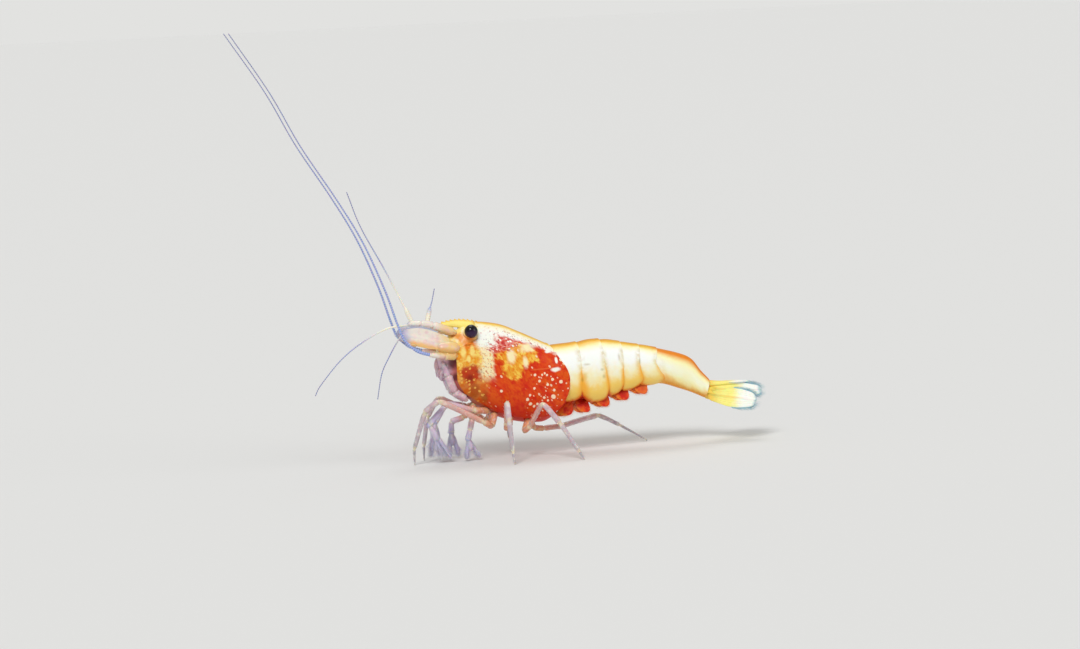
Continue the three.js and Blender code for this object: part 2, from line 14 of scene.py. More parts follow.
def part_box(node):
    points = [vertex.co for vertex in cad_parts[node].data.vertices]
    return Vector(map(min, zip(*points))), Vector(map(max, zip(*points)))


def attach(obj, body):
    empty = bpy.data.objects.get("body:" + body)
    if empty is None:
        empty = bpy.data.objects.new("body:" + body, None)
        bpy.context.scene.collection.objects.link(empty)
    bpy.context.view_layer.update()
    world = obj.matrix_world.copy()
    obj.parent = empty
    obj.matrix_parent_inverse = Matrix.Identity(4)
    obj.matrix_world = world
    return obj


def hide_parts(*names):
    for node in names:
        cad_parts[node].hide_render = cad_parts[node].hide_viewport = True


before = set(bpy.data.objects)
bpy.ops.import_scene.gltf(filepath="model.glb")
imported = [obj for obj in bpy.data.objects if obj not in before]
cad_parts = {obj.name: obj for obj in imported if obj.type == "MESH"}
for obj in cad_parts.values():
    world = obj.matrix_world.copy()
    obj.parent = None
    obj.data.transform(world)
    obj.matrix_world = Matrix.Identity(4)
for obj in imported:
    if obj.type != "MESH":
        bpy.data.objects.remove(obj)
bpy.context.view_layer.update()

MM = 0.001
LEFT, RIGHT = -1, 1
SHARE_12 = np.linspace(0, 1, 12)
SIDES = {"left": LEFT, "right": RIGHT}
EYE = np.array([-5.47, 1.38, 9.62])
EYE_RADIUS = 0.5
SHELL = 0.07  # the thickness of a shell plate

# Columns: the back line's x and z, the belly line's x and z, and half the width.
FOREBODY_STATIONS = [
    (-7.7, 9.3, -7.35, 5.45, 0.85),
    (-6.2, 9.95, -6.4, 4.75, 1.25),
    (-4.9, 10.22, -5.1, 3.95, 1.6),
    (-3.1, 9.87, -3.5, 3.05, 1.85),
    (-1.6, 9.2, -1.9, 2.6, 1.95),
    (-0.3, 8.55, -0.4, 2.5, 1.9),
    (0.8, 8.02, 0.9, 2.75, 1.8),
    (2.1, 7.6, 2.1, 3.2, 1.6),
]
ABDOMEN_STATIONS = [
    (-0.6, 7.9, -0.5, 3.7, 1.55),
    (0.6, 8.05, 0.7, 3.75, 1.6),
    (2.35, 8.14, 2.5, 3.6, 1.62),
    (3.95, 8.28, 4.3, 3.65, 1.6),
    (5.2, 8.14, 5.2, 3.98, 1.54),
    (6.4, 7.86, 6.05, 4.22, 1.45),
    (8.35, 7.42, 7.5, 4.5, 1.25),
    (10.35, 6.82, 8.95, 4.52, 1.02),
    (11.4, 6.28, 10.3, 4.12, 0.88),
    (12.1, 5.36, 11.3, 3.74, 0.78),
    (12.7, 4.66, 12.25, 3.28, 0.72),
]
# The joint behind each somite: its station on the back, and how far the side lobes carry it.
SOMITE_JOINTS = [(2.15, -0.08), (3.3, 0.15), (4.65, 0.12), (5.5, 0.35), (6.18, 0.75), (10, 0)]
LOBE_HANG = [0.05, 0.15, 0.07, 0.09, 0.08, 0]
TUCK = 0.22  # how far a plate reaches under the one in front, in stations


def frame_shift():
    """Where the animal's own origin is in the part's frame, in millimetres."""
    low, high = (np.array(corner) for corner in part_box("eye_left"))
    return (low + high) / 2 / MM - EYE * (1, LEFT, 1)


SHIFT = frame_shift()

# ---------------------------------------------------------------- numbers and curves


def mix(a, b, share):
    return a + (b - a) * share


def on_side(side, *points):
    """Points that are given for the right side, mirrored if the side is the left."""
    return np.array(points, float) * (1, side, 1)


def ring_angles(sides):
    return np.arange(sides) / sides * 2 * math.pi


def step(low, high, value):
    t = np.clip((np.asarray(value, float) - low) / (high - low), 0, 1)
    return t * t * (3 - 2 * t)


def unit(vectors):
    length = np.linalg.norm(vectors, axis=-1, keepdims=True)
    return vectors / np.maximum(length, 1e-9)


def smooth(points, share):
    """A curve through points that it passes at even shares of its length."""
    points = np.asarray(points, float)
    ends = 2 * points[0] - points[1], 2 * points[-1] - points[-2]
    all_points = np.vstack([ends[0], points, ends[1]])
    spans = len(points) - 1
    t = np.clip(np.asarray(share, float), 0, 1) * spans
    i = np.minimum(t.astype(int), spans - 1)
    w = (t - i)[..., None]
    before, start, end, after = (all_points[i + k] for k in range(4))
    bend_in = (end - before) / 2
    bend_out = (after - start) / 2
    return (
        start * (2 * w**3 - 3 * w**2 + 1)
        + bend_in * (w**3 - 2 * w**2 + w)
        + end * (3 * w**2 - 2 * w**3)
        + bend_out * (w**3 - w**2)
    )


def even_path(points, count):
    """Points spaced evenly by length along the smooth curve."""
    fine = smooth(points, np.linspace(0, 1, 600))
    lengths = np.concatenate([[0], np.cumsum(np.linalg.norm(np.diff(fine, axis=0), axis=1))])
    wanted = np.linspace(0, lengths[-1], count)
    return np.stack([np.interp(wanted, lengths, fine[:, k]) for k in range(3)], axis=1)


class Body:
    """A bilateral surface: superellipse sections between a back line and a belly line."""

    def __init__(self, roof_power, floor_power, stations):
        table = np.array(stations, float)
        self.powers = (roof_power, floor_power)
        self.last = len(table) - 1
        self.table = table

    def at(self, station, angle, size=1.0, hang=0.0):
        """Points at stations, at angles from the back (0) to the belly (PI), left negative."""
        station, angle = np.broadcast_arrays(np.asarray(station, float), angle)
        row = smooth(self.table, station / self.last)
        back = np.stack([row[..., 0], row[..., 1]], axis=-1)
        belly = np.stack([row[..., 2], row[..., 3] - hang], axis=-1)
        up, out = np.cos(angle), np.sin(angle)
        power = 2 / np.where(up > 0, *self.powers)
        rise = np.sign(up) * np.abs(up) ** power * size
        side = np.sign(out) * np.abs(out) ** power * size
        middle = (back + belly) / 2
        place = middle + (back - middle) * rise[..., None]
        return np.stack([place[..., 0], side * row[..., 4], place[..., 1]], axis=-1)

    def station_at(self, x, angle):
        """The station at which the surface crosses each x, at each angle."""
        low = np.zeros(np.shape(angle))
        high = np.full(np.shape(angle), float(self.last))
        for _ in range(30):
            half = (low + high) / 2
            ahead = self.at(half, angle)[..., 0] < x
            low = np.where(ahead, half, low)
            high = np.where(ahead, high, half)
        return (low + high) / 2


FOREBODY = Body(2.1, 2.7, FOREBODY_STATIONS)
ABDOMEN = Body(2.2, 2.5, ABDOMEN_STATIONS)

# ---------------------------------------------------------------- meshes


def grid_faces(rows, columns, wrap=False):
    """Quads between rows of points. With wrap, each row is a closed ring."""
    i = np.arange(rows - 1)[:, None]
    j = np.arange(columns if wrap else columns - 1)[None, :]
    across = (j + 1) % columns
    corners = [i * columns + j, (i + 1) * columns + j, (i + 1) * columns + across, i * columns + across]
    return np.stack([np.broadcast_to(c, (rows - 1, j.size)).ravel() for c in corners], axis=1)


class Form:
    """A piece's points and faces, with a value or vector of paint for each point."""

    def __init__(self):
        self.points, self.faces, self.fields, self.maps = [], [], {}, []
        self.count = 0

    def add(self, points, faces, **fields):
        """Adds one closed body, and turns it so that its faces point out."""
        points = np.asarray(points, float).reshape(-1, 3)
        volume = 0.0
        for block in faces:
            for k in range(1, block.shape[1] - 1):
                a, b, c = (points[block[:, n]] for n in (0, k, k + 1))
                volume += np.einsum("ij,ij->", a, np.cross(b, c))
        turn = 1 if volume > 0 else -1
        self.faces += [(block[:, ::turn] + self.count) for block in faces]
        self.points.append(points)
        for name, value in fields.items():
            value = np.asarray(value, float)
            width = 3 if value.shape[-1:] == (3,) and value.size == points.size else 1
            self.fields.setdefault(name, []).append((self.count, value.reshape(-1, width)))
        self.count += len(points)

    def build(self, name):
        mesh = bpy.data.meshes.new(name)
        places = (np.concatenate(self.points) + SHIFT) * MM
        mesh.from_pydata(places.tolist(), [], [f for block in self.faces for f in block.tolist()])
        mesh.polygons.foreach_set("use_smooth", np.ones(len(mesh.polygons), bool))
        for field, parts in self.fields.items():
            width = parts[0][1].shape[1]
            values = np.zeros((self.count, width), np.float32)
            for start, value in parts:
                values[start : start + len(value)] = value
            kind, key = ("FLOAT", "value") if width == 1 else ("FLOAT_VECTOR", "vector")
            mesh.attributes.new(field, kind, "POINT").data.foreach_set(key, values.ravel())
        if self.maps:
            uv = np.concatenate(self.maps)
            corners = np.zeros(len(mesh.loops), np.int32)
            mesh.loops.foreach_get("vertex_index", corners)
            layer = mesh.uv_layers.new(name="OFBake")
            layer.data.foreach_set("uv", uv[corners].astype(np.float32).ravel())
        piece = bpy.data.objects.new(name, mesh)
        bpy.context.scene.collection.objects.link(piece)
        return piece


def show(name, form, material, slot, *nodes):
    """Makes a piece that rides on the part and stands for its solids."""
    piece = form.build(name)
    piece.data.materials.append(material)
    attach(piece, "root")
    if nodes:
        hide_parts(*nodes)
    return piece


def thick_sheet(form, surface, thickness=SHELL, **fields):
    """Adds an open sheet with a thickness and a rounded rim."""
    rows, columns = surface.shape[:2]
    along = np.gradient(surface, axis=0)
    across = np.gradient(surface, axis=1)
    normal = unit(np.cross(along, across))
    centre = surface.mean(axis=1, keepdims=True)
    if np.einsum("ijk,ijk->", normal, surface - centre) < 0:
        normal = -normal
    index = np.arange(rows * columns).reshape(rows, columns)
    loop = np.concatenate([index[0, :-1], index[:-1, -1], index[-1, :0:-1], index[:0:-1, 0]])
    outward = np.zeros_like(surface)
    outward[0] -= unit(along[0])
    outward[-1] += unit(along[-1])
    outward[:, 0] -= unit(across[:, 0])
    outward[:, -1] += unit(across[:, -1])
    outer = surface.reshape(-1, 3)
    inner = (surface - normal * thickness).reshape(-1, 3)
    rim = (outer[loop] + inner[loop]) / 2 + unit(outward.reshape(-1, 3)[loop]) * thickness / 2
    total = rows * columns
    outer_faces = grid_faces(rows, columns)
    rim_index = 2 * total + np.arange(len(loop))
    after, rim_after = np.roll(loop, -1), np.roll(rim_index, -1)
    faces = [
        outer_faces,
        outer_faces[:, ::-1] + total,
        np.stack([loop, after, rim_after, rim_index], axis=1),
        np.stack([rim_index, rim_after, after + total, loop + total], axis=1),
    ]
    for name, value in fields.items():
        value = np.broadcast_to(value, (rows, columns) + np.shape(value)[2:]).reshape(total, -1)
        fields[name] = np.concatenate([value, value, value[loop]]).squeeze()
    form.add(np.concatenate([outer, inner, rim]), faces, **fields)


def frames_along(path):
    """Two directions across a path at each of its points, which don't twist."""
    along = unit(np.gradient(path, axis=0))
    normal = np.array([0.13, 1.0, 0.21])
    normals = []
    for direction in along:
        normal = unit(normal - direction * normal.dot(direction))
        normals.append(normal)
    normals = np.array(normals)
    return along, normals, np.cross(along, normals)


def sections_body(form, rings, tips=None, **fields):
    """Adds a closed body through rings of points, with a fan over each end."""
    rows, sides = rings.shape[:2]
    if tips is None:
        tips = rings[[0, -1]].mean(axis=1)
    k = np.arange(sides)
    after = (k + 1) % sides
    first, last = rows * sides, rows * sides + 1
    base = (rows - 1) * sides
    faces = [
        grid_faces(rows, sides, wrap=True),
        np.stack([np.full(sides, first), k, after], axis=1),
        np.stack([np.full(sides, last), base + after, base + k], axis=1),
    ]
    for name, value in fields.items():
        value = np.broadcast_to(value, (rows, sides) + np.shape(value)[2:])
        ends = value[[0, -1]].mean(axis=1)
        fields[name] = np.concatenate([value.reshape((rows * sides,) + value.shape[2:]), ends])
    form.add(np.concatenate([rings.reshape(-1, 3), tips]), faces, **fields)


def tube(form, path, radii, sides=12, flatten=1.0, **fields):
    """Adds a round tube with rounded ends. A field has one value, or one for each path point."""
    path, radii = np.asarray(path, float), np.asarray(radii, float)
    cap = np.sin(np.linspace(0.15, 1, 4) * math.pi / 2)[:-1]
    reach = np.sqrt(1 - cap**2)
    along, normals, sideways = frames_along(path)
    heads = path[0] - along[0] * radii[0] * reach[:, None]
    tails = path[-1] + along[-1] * radii[-1] * reach[::-1, None]
    centres = np.concatenate([heads, path, tails])
    sizes = np.concatenate([radii[0] * cap, radii, radii[-1] * cap[::-1]])
    nearest = np.clip(np.arange(len(centres)) - len(cap), 0, len(path) - 1)
    turn = ring_angles(sides)[:, None]
    ring = normals[nearest, None] * np.cos(turn) + sideways[nearest, None] * np.sin(turn) * flatten
    tips = np.stack([path[0] - along[0] * radii[0], path[-1] + along[-1] * radii[-1]])
    for name, value in fields.items():
        value = np.broadcast_to(value, (len(path),) + np.shape(value)[1:])
        fields[name] = value[nearest, None]
    sections_body(form, centres[:, None] + ring * sizes[:, None, None], tips, **fields)


HAIR_RINGS, HAIR_SIDES = 4, 3
HAIR_PATCH = 0.003  # how wide a hair's patch is on the unwrap of what bears it
HAIR_CLEARANCE = 0.06  # how near the floor a hair may come
HAIR_REACH = 1.25  # how far a hair reaches with its bend, in lengths


def hair_faces():
    """The walls, the tip and the root of one hair, whose last point is the tip."""
    k = np.arange(HAIR_SIDES)
    last_ring = (HAIR_RINGS - 1) * HAIR_SIDES
    walls = grid_faces(HAIR_RINGS, HAIR_SIDES, wrap=True)[:, [0, 3, 2, 1]]
    end = np.full(HAIR_SIDES, HAIR_RINGS * HAIR_SIDES)
    top = np.stack([last_ring + k, last_ring + (k + 1) % HAIR_SIDES, end], axis=1)
    return walls, top, k[None, ::-1]


def hairs(form, roots, directions, lengths, radius, bends, places):
    """Adds thin tapered hairs. places are the roots' places on an unwrap of what bears them."""
    directions = unit(directions)
    lengths = lengths[:, None]
    side = unit(np.cross(directions, (0.31, 0.52, 0.79)))
    other = np.cross(directions, side)
    share = np.arange(HAIR_RINGS) / HAIR_RINGS
    centres = (
        roots[:, None]
        + directions[:, None] * (lengths * share)[..., None]
        + bends[:, None] * (lengths * share**2)[..., None]
    )
    turn = ring_angles(HAIR_SIDES)
    ring = side[:, None] * np.cos(turn)[:, None] + other[:, None] * np.sin(turn)[:, None]
    size = radius * (1 - share) ** 0.7
    points = centres[:, :, None] + ring[:, None] * size[:, None, None]
    tips = roots + directions * lengths + bends * lengths
    block = np.concatenate([points.reshape(len(roots), -1, 3), tips[:, None]], axis=1)
    start = np.arange(len(roots))[:, None, None] * block.shape[1] + form.count
    for faces in hair_faces():
        form.faces.append((faces[None] + start).reshape(-1, faces.shape[1]))
    tip_share = np.append(np.repeat(share, HAIR_SIDES), 1)
    across = np.append(np.tile(np.cos(turn), HAIR_RINGS), 0)
    patch = np.stack([across, tip_share * 2 - 1], axis=1) * HAIR_PATCH / 2
    form.fields.setdefault("tip", []).append((form.count, np.tile(tip_share, len(roots))[:, None]))
    form.maps.append((places[:, None] + patch).reshape(-1, 2))
    form.points.append(block.reshape(-1, 3))
    form.count += block.shape[0] * block.shape[1]


# ---------------------------------------------------------------- paint


def srgb(red, green, blue):
    """A colour from its 0-255 values, in the linear values that the shaders take."""
    levels = np.array([red, green, blue]) / 255
    linear = np.where(levels <= 0.04045, levels / 12.92, ((levels + 0.055) / 1.055) ** 2.4)
    return (*linear.tolist(), 1.0)


WHITE = srgb(250, 247, 236)
CREAM = srgb(252, 238, 190)
GOLD = srgb(246, 200, 80)
YELLOW = srgb(248, 212, 108)
OCHRE = srgb(236, 160, 44)
ORANGE = srgb(234, 118, 18)
RED_ORANGE = srgb(222, 70, 14)
RED = srgb(208, 38, 12)
CRIMSON = srgb(196, 44, 44)
DARK_RED = srgb(128, 26, 12)
MAROON = srgb(84, 18, 26)
DOT = srgb(251, 222, 190)
PLUM = srgb(120, 84, 108)
PINK = srgb(240, 205, 205)
OLIVE = srgb(150, 134, 62)
TAN = srgb(206, 176, 96)
FLOOR_COLOUR = srgb(226, 226, 224)


class Value:
    """An output of a material's node. Arithmetic on it makes the nodes that work it out."""

    def __init__(self, paint, socket):
        self.paint, self.socket = paint, socket

    def __add__(self, other):
        return self.paint.math("ADD", self, other)

    def __radd__(self, other):
        return self.paint.math("ADD", other, self)

    def __sub__(self, other):
        return self.paint.math("SUBTRACT", self, other)

    def __rsub__(self, other):
        return self.paint.math("SUBTRACT", other, self)

    def __mul__(self, other):
        return self.paint.math("MULTIPLY", self, other)

    def __truediv__(self, other):
        return self.paint.math("DIVIDE", self, other)


class Paint:
    """One material, with short calls for the nodes that make its pattern."""

    def __init__(self, name, **sockets):
        self.material = bpy.data.materials.new(name)
        self.material.use_nodes = True
        self.tree = self.material.node_tree
        self.shader = self.tree.nodes["Principled BSDF"]
        for socket, value in sockets.items():
            self.shader.inputs[socket.replace("_", " ")].default_value = value

    def values(self, outputs, kind, inputs=(), **settings):
        """Some outputs of a new node, by name or number."""
        made = self.tree.nodes.new("ShaderNode" + kind)
        for name, value in settings.items():
            setattr(made, name, value)
        for key, value in dict(inputs).items():
            self.feed(made.inputs[key], value)
        return [Value(self, made.outputs[key]) for key in outputs]

    def value(self, output, kind, inputs=(), **settings):
        return self.values([output], kind, inputs, **settings)[0]

    def feed(self, socket, value):
        if isinstance(value, Value):
            self.tree.links.new(value.socket, socket)
        else:
            socket.default_value = value

    def math(self, operation, *values):
        return self.value(0, "Math", dict(enumerate(values)), operation=operation)

    def either(self, a, b):
        return self.math("MAXIMUM", a, b)

    def rise(self, low, high, value):
        """0 below low and 1 above high, with a smooth step between them."""
        inputs = {"Value": value, "From Min": low, "From Max": high}
        return self.value("Result", "MapRange", inputs, interpolation_type="SMOOTHSTEP")

    def fall(self, low, high, value):
        return 1.0 - self.rise(low, high, value)

    def band(self, low, high, soft, value):
        """1 between low and high, with soft edges."""
        return self.rise(low - soft, low + soft, value) * self.fall(high - soft, high + soft, value)

    def mix(self, share, a, b):
        return self.value(2, "Mix", {0: share, 6: a, 7: b}, data_type="RGBA")

    def layers(self, colour, *layers):
        """Lays tones over a colour in turn. A layer is its mask and its tone."""
        for mask, tone in layers:
            colour = self.mix(mask, colour, tone)
        return colour

    def place(self):
        """The point in millimetres in the animal's own frame, as a vector and as x and z."""
        coordinates = self.value("Object", "TexCoord")
        inputs = {"Vector": coordinates, "Location": tuple(-SHIFT), "Scale": (1 / MM,) * 3}
        vector = self.value("Vector", "Mapping", inputs)
        return vector, *self.values(["X", "Z"], "SeparateXYZ", {"Vector": vector})

    def field(self, name, output="Fac"):
        return self.value(output, "Attribute", attribute_name=name)

    def moved(self, vector, offset):
        return self.value("Vector", "Mapping", {"Vector": vector, "Location": offset})

    def noise(self, vector, scale, detail=3.0, offset=(0, 0, 0)):
        inputs = {"Scale": scale, "Detail": detail, "Roughness": 0.55}
        return self.value("Fac", "TexNoise", {"Vector": self.moved(vector, offset), **inputs})

    def wave(self, vector, scale, detail=3.0, offset=(0, 0, 0)):
        """Noise round zero."""
        return self.noise(vector, scale, detail, offset) - 0.5

    def dots(self, vector, spacing, radius, share, offset=(0, 0, 0)):
        """Round dots of different sizes, in a share of the cells of a plane."""
        inputs = {"Vector": self.moved(vector, offset), "Scale": 1 / spacing}
        away, colour = self.values(["Distance", "Color"], "TexVoronoi", inputs, voronoi_dimensions="2D")
        ticket, size = self.values(["Red", "Green"], "SeparateColor", {"Color": colour})
        near = away / ((size + 0.45) * (radius / spacing))
        return self.fall(0.7, 1.1, near) * self.math("LESS_THAN", ticket, share)

    def oval(self, x, z, centre, radii, soft, wave=None):
        """An oval mask in side view, whose edge follows a wave round zero."""
        across = (x - centre[0]) / radii[0]
        up = (z - centre[1]) / radii[1]
        reach = self.math("SQRT", across * across + up * up)
        if wave is not None:
            reach = reach + wave
        return self.fall(1 - soft, 1 + soft, reach)

    def spots(self, flat, places):
        """Round spots at (x, z, radius) in side view. flat is the point with y left out."""
        mask = None
        for x, z, radius in places:
            ends = {0: flat, 1: (x, 0, z)}
            away = self.value("Value", "VectorMath", ends, operation="DISTANCE")
            spot = self.fall(radius * 0.7, radius * 1.1, away)
            mask = spot if mask is None else self.either(mask, spot)
        return mask

    def bump(self, height, distance, strength):
        inputs = {"Height": height, "Distance": distance * MM, "Strength": strength}
        return self.value("Normal", "Bump", inputs)

    def finish(self, colour, normal=None):
        self.feed(self.shader.inputs["Base Color"], colour)
        if normal is not None:
            self.feed(self.shader.inputs["Normal"], normal)
        return self.material


SHELL_FINISH = {
    "Roughness": 0.36,
    "Specular_IOR_Level": 0.2,
    "Coat_Weight": 0.1,
    "Coat_Roughness": 0.1,
    "Subsurface_Weight": 0.12,
    "Subsurface_Scale": 0.35 * MM,
    "IOR": 1.4,
}


def shell_bump(paint, skin):
    """The fine pitted grain of a shell."""
    return paint.bump(paint.noise(skin, 9.0, 2.0) * 0.3 + paint.noise(skin, 1.6, 2.0), 0.05, 0.6)


class Place:
    """Where a point of a piece is, with noise round zero."""

    def __init__(self, paint):
        self.paint = paint
        self.vector, self.x, self.z = paint.place()
        self.fine = paint.wave(self.vector, 2.6, offset=(5, 1, 2))
        self.wobble = paint.wave(self.vector, 0.9) + self.fine * 0.8

    def oval(self, centre, radii, soft, wave):
        return self.paint.oval(self.x, self.z, centre, radii, soft, wave)

    def marks(self, tone, places, strength=0.85, soft=0.4, ragged=1.5):
        """Layers of oval marks of one tone, at (x, z, half width, half height)."""
        ovals = [self.oval((x, z), radii, soft, self.wobble * ragged) for x, z, *radii in places]
        return [(oval * strength, tone) for oval in ovals]


class Shell(Place):
    """Where a point of a plate is, on its unrolled skin as well, with three sizes of noise."""

    def __init__(self, paint):
        self.paint = paint
        _, self.x, self.z = paint.place()
        self.skin = paint.field("skin", "Vector")
        self.down, self.along = paint.field("down"), paint.field("along")
        self.broad = paint.wave(self.skin, 0.8)
        self.fine = paint.wave(self.skin, 2.2, offset=(7, 3, 0))
        self.tiny = paint.wave(self.skin, 5.5, 2.0, offset=(1, 8, 0))
        self.wobble = self.broad + self.fine * 0.7

    def dots(self, spacing, radius, share, offset=(0, 0, 0)):
        return self.paint.dots(self.skin, spacing, radius, share, offset)

    def swayed(self):
        """The point in side view, moved a little by the noise."""
        flat = self.paint.value(0, "CombineXYZ", {"X": self.x, "Z": self.z})
        sway = self.paint.value(0, "CombineXYZ", {"X": self.fine * 0.16, "Z": self.broad * 0.2})
        return self.paint.value(0, "VectorMath", {0: flat, 1: sway}, operation="ADD")


def red_ground(paint, at):
    """Red, with an orange glow and a deeper tone at the bottom."""
    return paint.layers(
        RED_ORANGE,
        (paint.rise(-0.12, 0.15, at.fine), RED),
        (paint.rise(-0.05, 0.2, at.broad + at.tiny * 0.5) * 0.4, ORANGE),
        (paint.rise(0.75, 0.98, at.down) * 0.7, RED),
    )


def yellow_cheek(paint, at, colour):
    """The front quarter: yellow above, brown-orange below, with reddish marks and flecks."""
    ahead = paint.fall(-0.5, 0.5, at.x + 4.5 + at.wobble * 2.2)
    low = paint.fall(5.4, 6.8, at.z + at.wobble * 2.4)
    front = paint.layers(
        YELLOW,
        (paint.rise(-0.12, 0.08, at.fine), OCHRE),
        (paint.rise(-0.02, 0.14, at.tiny) * 0.6, ORANGE),
        (low * 0.8, srgb(206, 84, 22)),
    )
    pale = [(-6.1, 8.05, 0.17, 0.42), (-5.45, 8.2, 0.15, 0.4), (-5.75, 7.6, 0.13, 0.25)]
    reddish = at.oval((-5.6, 6.5), (0.85, 0.55), 0.4, at.wobble * 2.0)
    dark = [(-5.7, 6.2, 0.26, 0.22), (-5.0, 6.65, 0.3, 0.12)]
    brown = [(-5.4, 5.2, 0.3, 0.5), (-4.7, 4.7, 0.25, 0.45)]
    flecks = at.dots(0.3, 0.075, 0.45, (4, 6, 0)) * ahead
    return paint.layers(
        colour,
        (ahead, front),
        *at.marks(ORANGE, [(-5.6, 8.75, 0.7, 0.45)]),
        *at.marks(srgb(255, 232, 140), pale, 0.75, 0.5, 0.9),
        (reddish * 0.9, srgb(184, 30, 8)),
        *at.marks(DARK_RED, dark, 0.7, 0.6),
        *at.marks(srgb(150, 66, 16), brown, 0.55, 0.6),
        (flecks * 0.75, srgb(246, 196, 92)),
    )


def ochre_saddle(paint, at, colour, streak):
    """A blotchy ochre saddle, narrow below, with pale streaks in it and one in front of it."""
    wide = at.oval((-2.25, 7.6), (1.45, 0.8), 0.16, at.wobble * 1.6)
    narrow = at.oval((-2.6, 6.8), (0.8, 0.9), 0.2, at.wobble * 1.6)
    ochre = paint.layers(
        GOLD,
        (paint.rise(-0.1, 0.08, at.fine), OCHRE),
        (paint.rise(-0.02, 0.14, at.tiny) * 0.8, ORANGE),
    )
    streaks = [(-2.7, 7.55, 0.32, 0.5), (-1.6, 7.1, 0.18, 0.45), (-1.4, 8.1, 0.5, 0.28)]
    return paint.layers(
        colour,
        (paint.either(wide, narrow), ochre),
        *at.marks(CREAM, streaks, 0.9, 0.55, 2.2),
        (streak * paint.rise(-0.22, 0.0, at.tiny) * 0.92, CREAM),
    )


def white_band(paint, at, colour, streak):
    """The white band under the back, speckled, over a row of crimson blotches."""
    row = at.oval((-3.3, 8.45), (1.15, 0.5), 0.3, at.wobble * 1.6)
    edge = at.x * 0.32 + (at.z - 8.05) + paint.rise(-2.2, 1.0, at.x) * 0.3 + at.wobble * 0.8
    band = paint.rise(-0.16, 0.16, edge)
    behind_eye = at.oval((-4.4, 9.3), (0.9, 0.95), 0.3, at.fine * 1.2)
    near_edge = paint.band(-0.1, 0.45, 0.1, edge)
    behind = band * paint.rise(-4.4, -3.6, at.x)
    speckles = at.dots(0.17, 0.042, 0.45) * paint.either(behind, streak * 0.7)
    return paint.layers(
        colour,
        (row * paint.rise(-0.12, 0.05, at.tiny) * 0.6, srgb(238, 178, 172)),
        (paint.either(band, behind_eye), WHITE),
        (at.dots(0.34, 0.17, 0.8, (6, 4, 0)) * row * 0.85, CRIMSON),
        (at.dots(0.3, 0.08, 0.6, (8, 3, 0)) * row, WHITE),
        (band * paint.rise(0.0, 0.14, at.tiny) * 0.45, PINK),
        (at.dots(0.3, 0.09, 0.4, (2, 7, 0)) * near_edge * 0.7, CRIMSON),
        (speckles * 0.7, PLUM),
    )


# The largest white dots: x, z and radius.
LARGE_DOTS = [
    (-1.42, 4.64, 0.1), (-1.6, 4.36, 0.13), (-1.4, 4.0, 0.13), (-1.12, 3.8, 0.11),
    (-0.88, 3.96, 0.11), (-0.35, 4.4, 0.11), (-0.06, 4.16, 0.1), (0.37, 4.43, 0.19),
    (0.43, 4.92, 0.11), (1.0, 5.45, 0.15), (0.34, 5.7, 0.12), (-0.05, 5.37, 0.12),
    (-0.43, 6.1, 0.09), (-0.22, 6.2, 0.09), (-0.05, 6.05, 0.09), (-0.66, 5.66, 0.11),
    (-0.97, 6.12, 0.11), (-1.06, 5.15, 0.1), (-3.5, 5.1, 0.11),
]


def white_dots(paint, at, colour):
    """White dots, thickest low on the rear, with a white patch at the rear edge."""
    low_rear = paint.rise(-2.0, -0.8, at.x) * paint.fall(6.1, 6.9, at.z)
    many = at.dots(0.4, 0.06, 0.4, (3, 5, 0)) * low_rear
    few = at.dots(0.46, 0.07, 0.1, (9, 1, 0)) * paint.rise(-5.0, -3.5, at.x)
    dots = paint.either(paint.either(many, few) * 0.75, paint.spots(at.swayed(), LARGE_DOTS))
    pale_line = paint.band(-1.2, 0.4, 0.25, at.x) * paint.band(6.5, 6.54, 0.06, at.z)
    edge_marks = [(0.68, 6.4, 0.34, 0.15), (0.25, 7.72, 0.2, 0.1), (0.78, 7.05, 0.1, 0.2)]
    border = paint.rise(0.93, 0.965, at.along) * paint.band(0.12, 0.42, 0.05, at.down)
    return paint.layers(
        colour,
        (dots, DOT),
        (pale_line * 0.5, srgb(246, 158, 84)),
        *at.marks(WHITE, edge_marks, 0.95, 0.4, 1.2),
        (border * at.dots(0.3, 0.13, 0.7, (5, 5, 0)) * 0.85, CREAM),
    )


def painted_rim_light_and_rostrum(paint, at, colour):
    """Painted rim light: a golden line along the back of the carapace, where light shines through the
    thin shell edge; and a paler rostrum.
    """
    height = at.down + at.fine * 0.06
    rostrum = paint.fall(-5.3, -4.7, at.x) * paint.fall(0.3, 0.36, at.down)
    blade = paint.mix(paint.fall(0.0, 0.08, at.down), srgb(254, 240, 140), GOLD)
    return paint.layers(
        colour,
        # Painted rim light: cream, gold and orange lines along the back.
        (paint.fall(0.12, 0.24, height) * 0.85, CREAM),
        (paint.fall(0.08, 0.16, height), GOLD),
        (paint.fall(0.02, 0.1, height) * 0.7, srgb(226, 140, 30)),
        (rostrum, blade),
    )


def paint_carapace():
    """Red with white dots behind, an ochre saddle, a white band above and a yellow cheek."""
    paint = Paint("carapace_shell", **SHELL_FINISH)
    at = Shell(paint)
    shifted = at.x + at.wobble * 1.1
    streak = paint.band(-4.95, -4.05, 0.24, shifted) * paint.band(6.1, 9.2, 0.45, at.z)
    colour = red_ground(paint, at)
    colour = yellow_cheek(paint, at, colour)
    colour = ochre_saddle(paint, at, colour, streak)
    colour = white_band(paint, at, colour, streak)
    colour = white_dots(paint, at, colour)
    colour = painted_rim_light_and_rostrum(paint, at, colour)
    return paint.finish(colour, shell_bump(paint, at.skin))


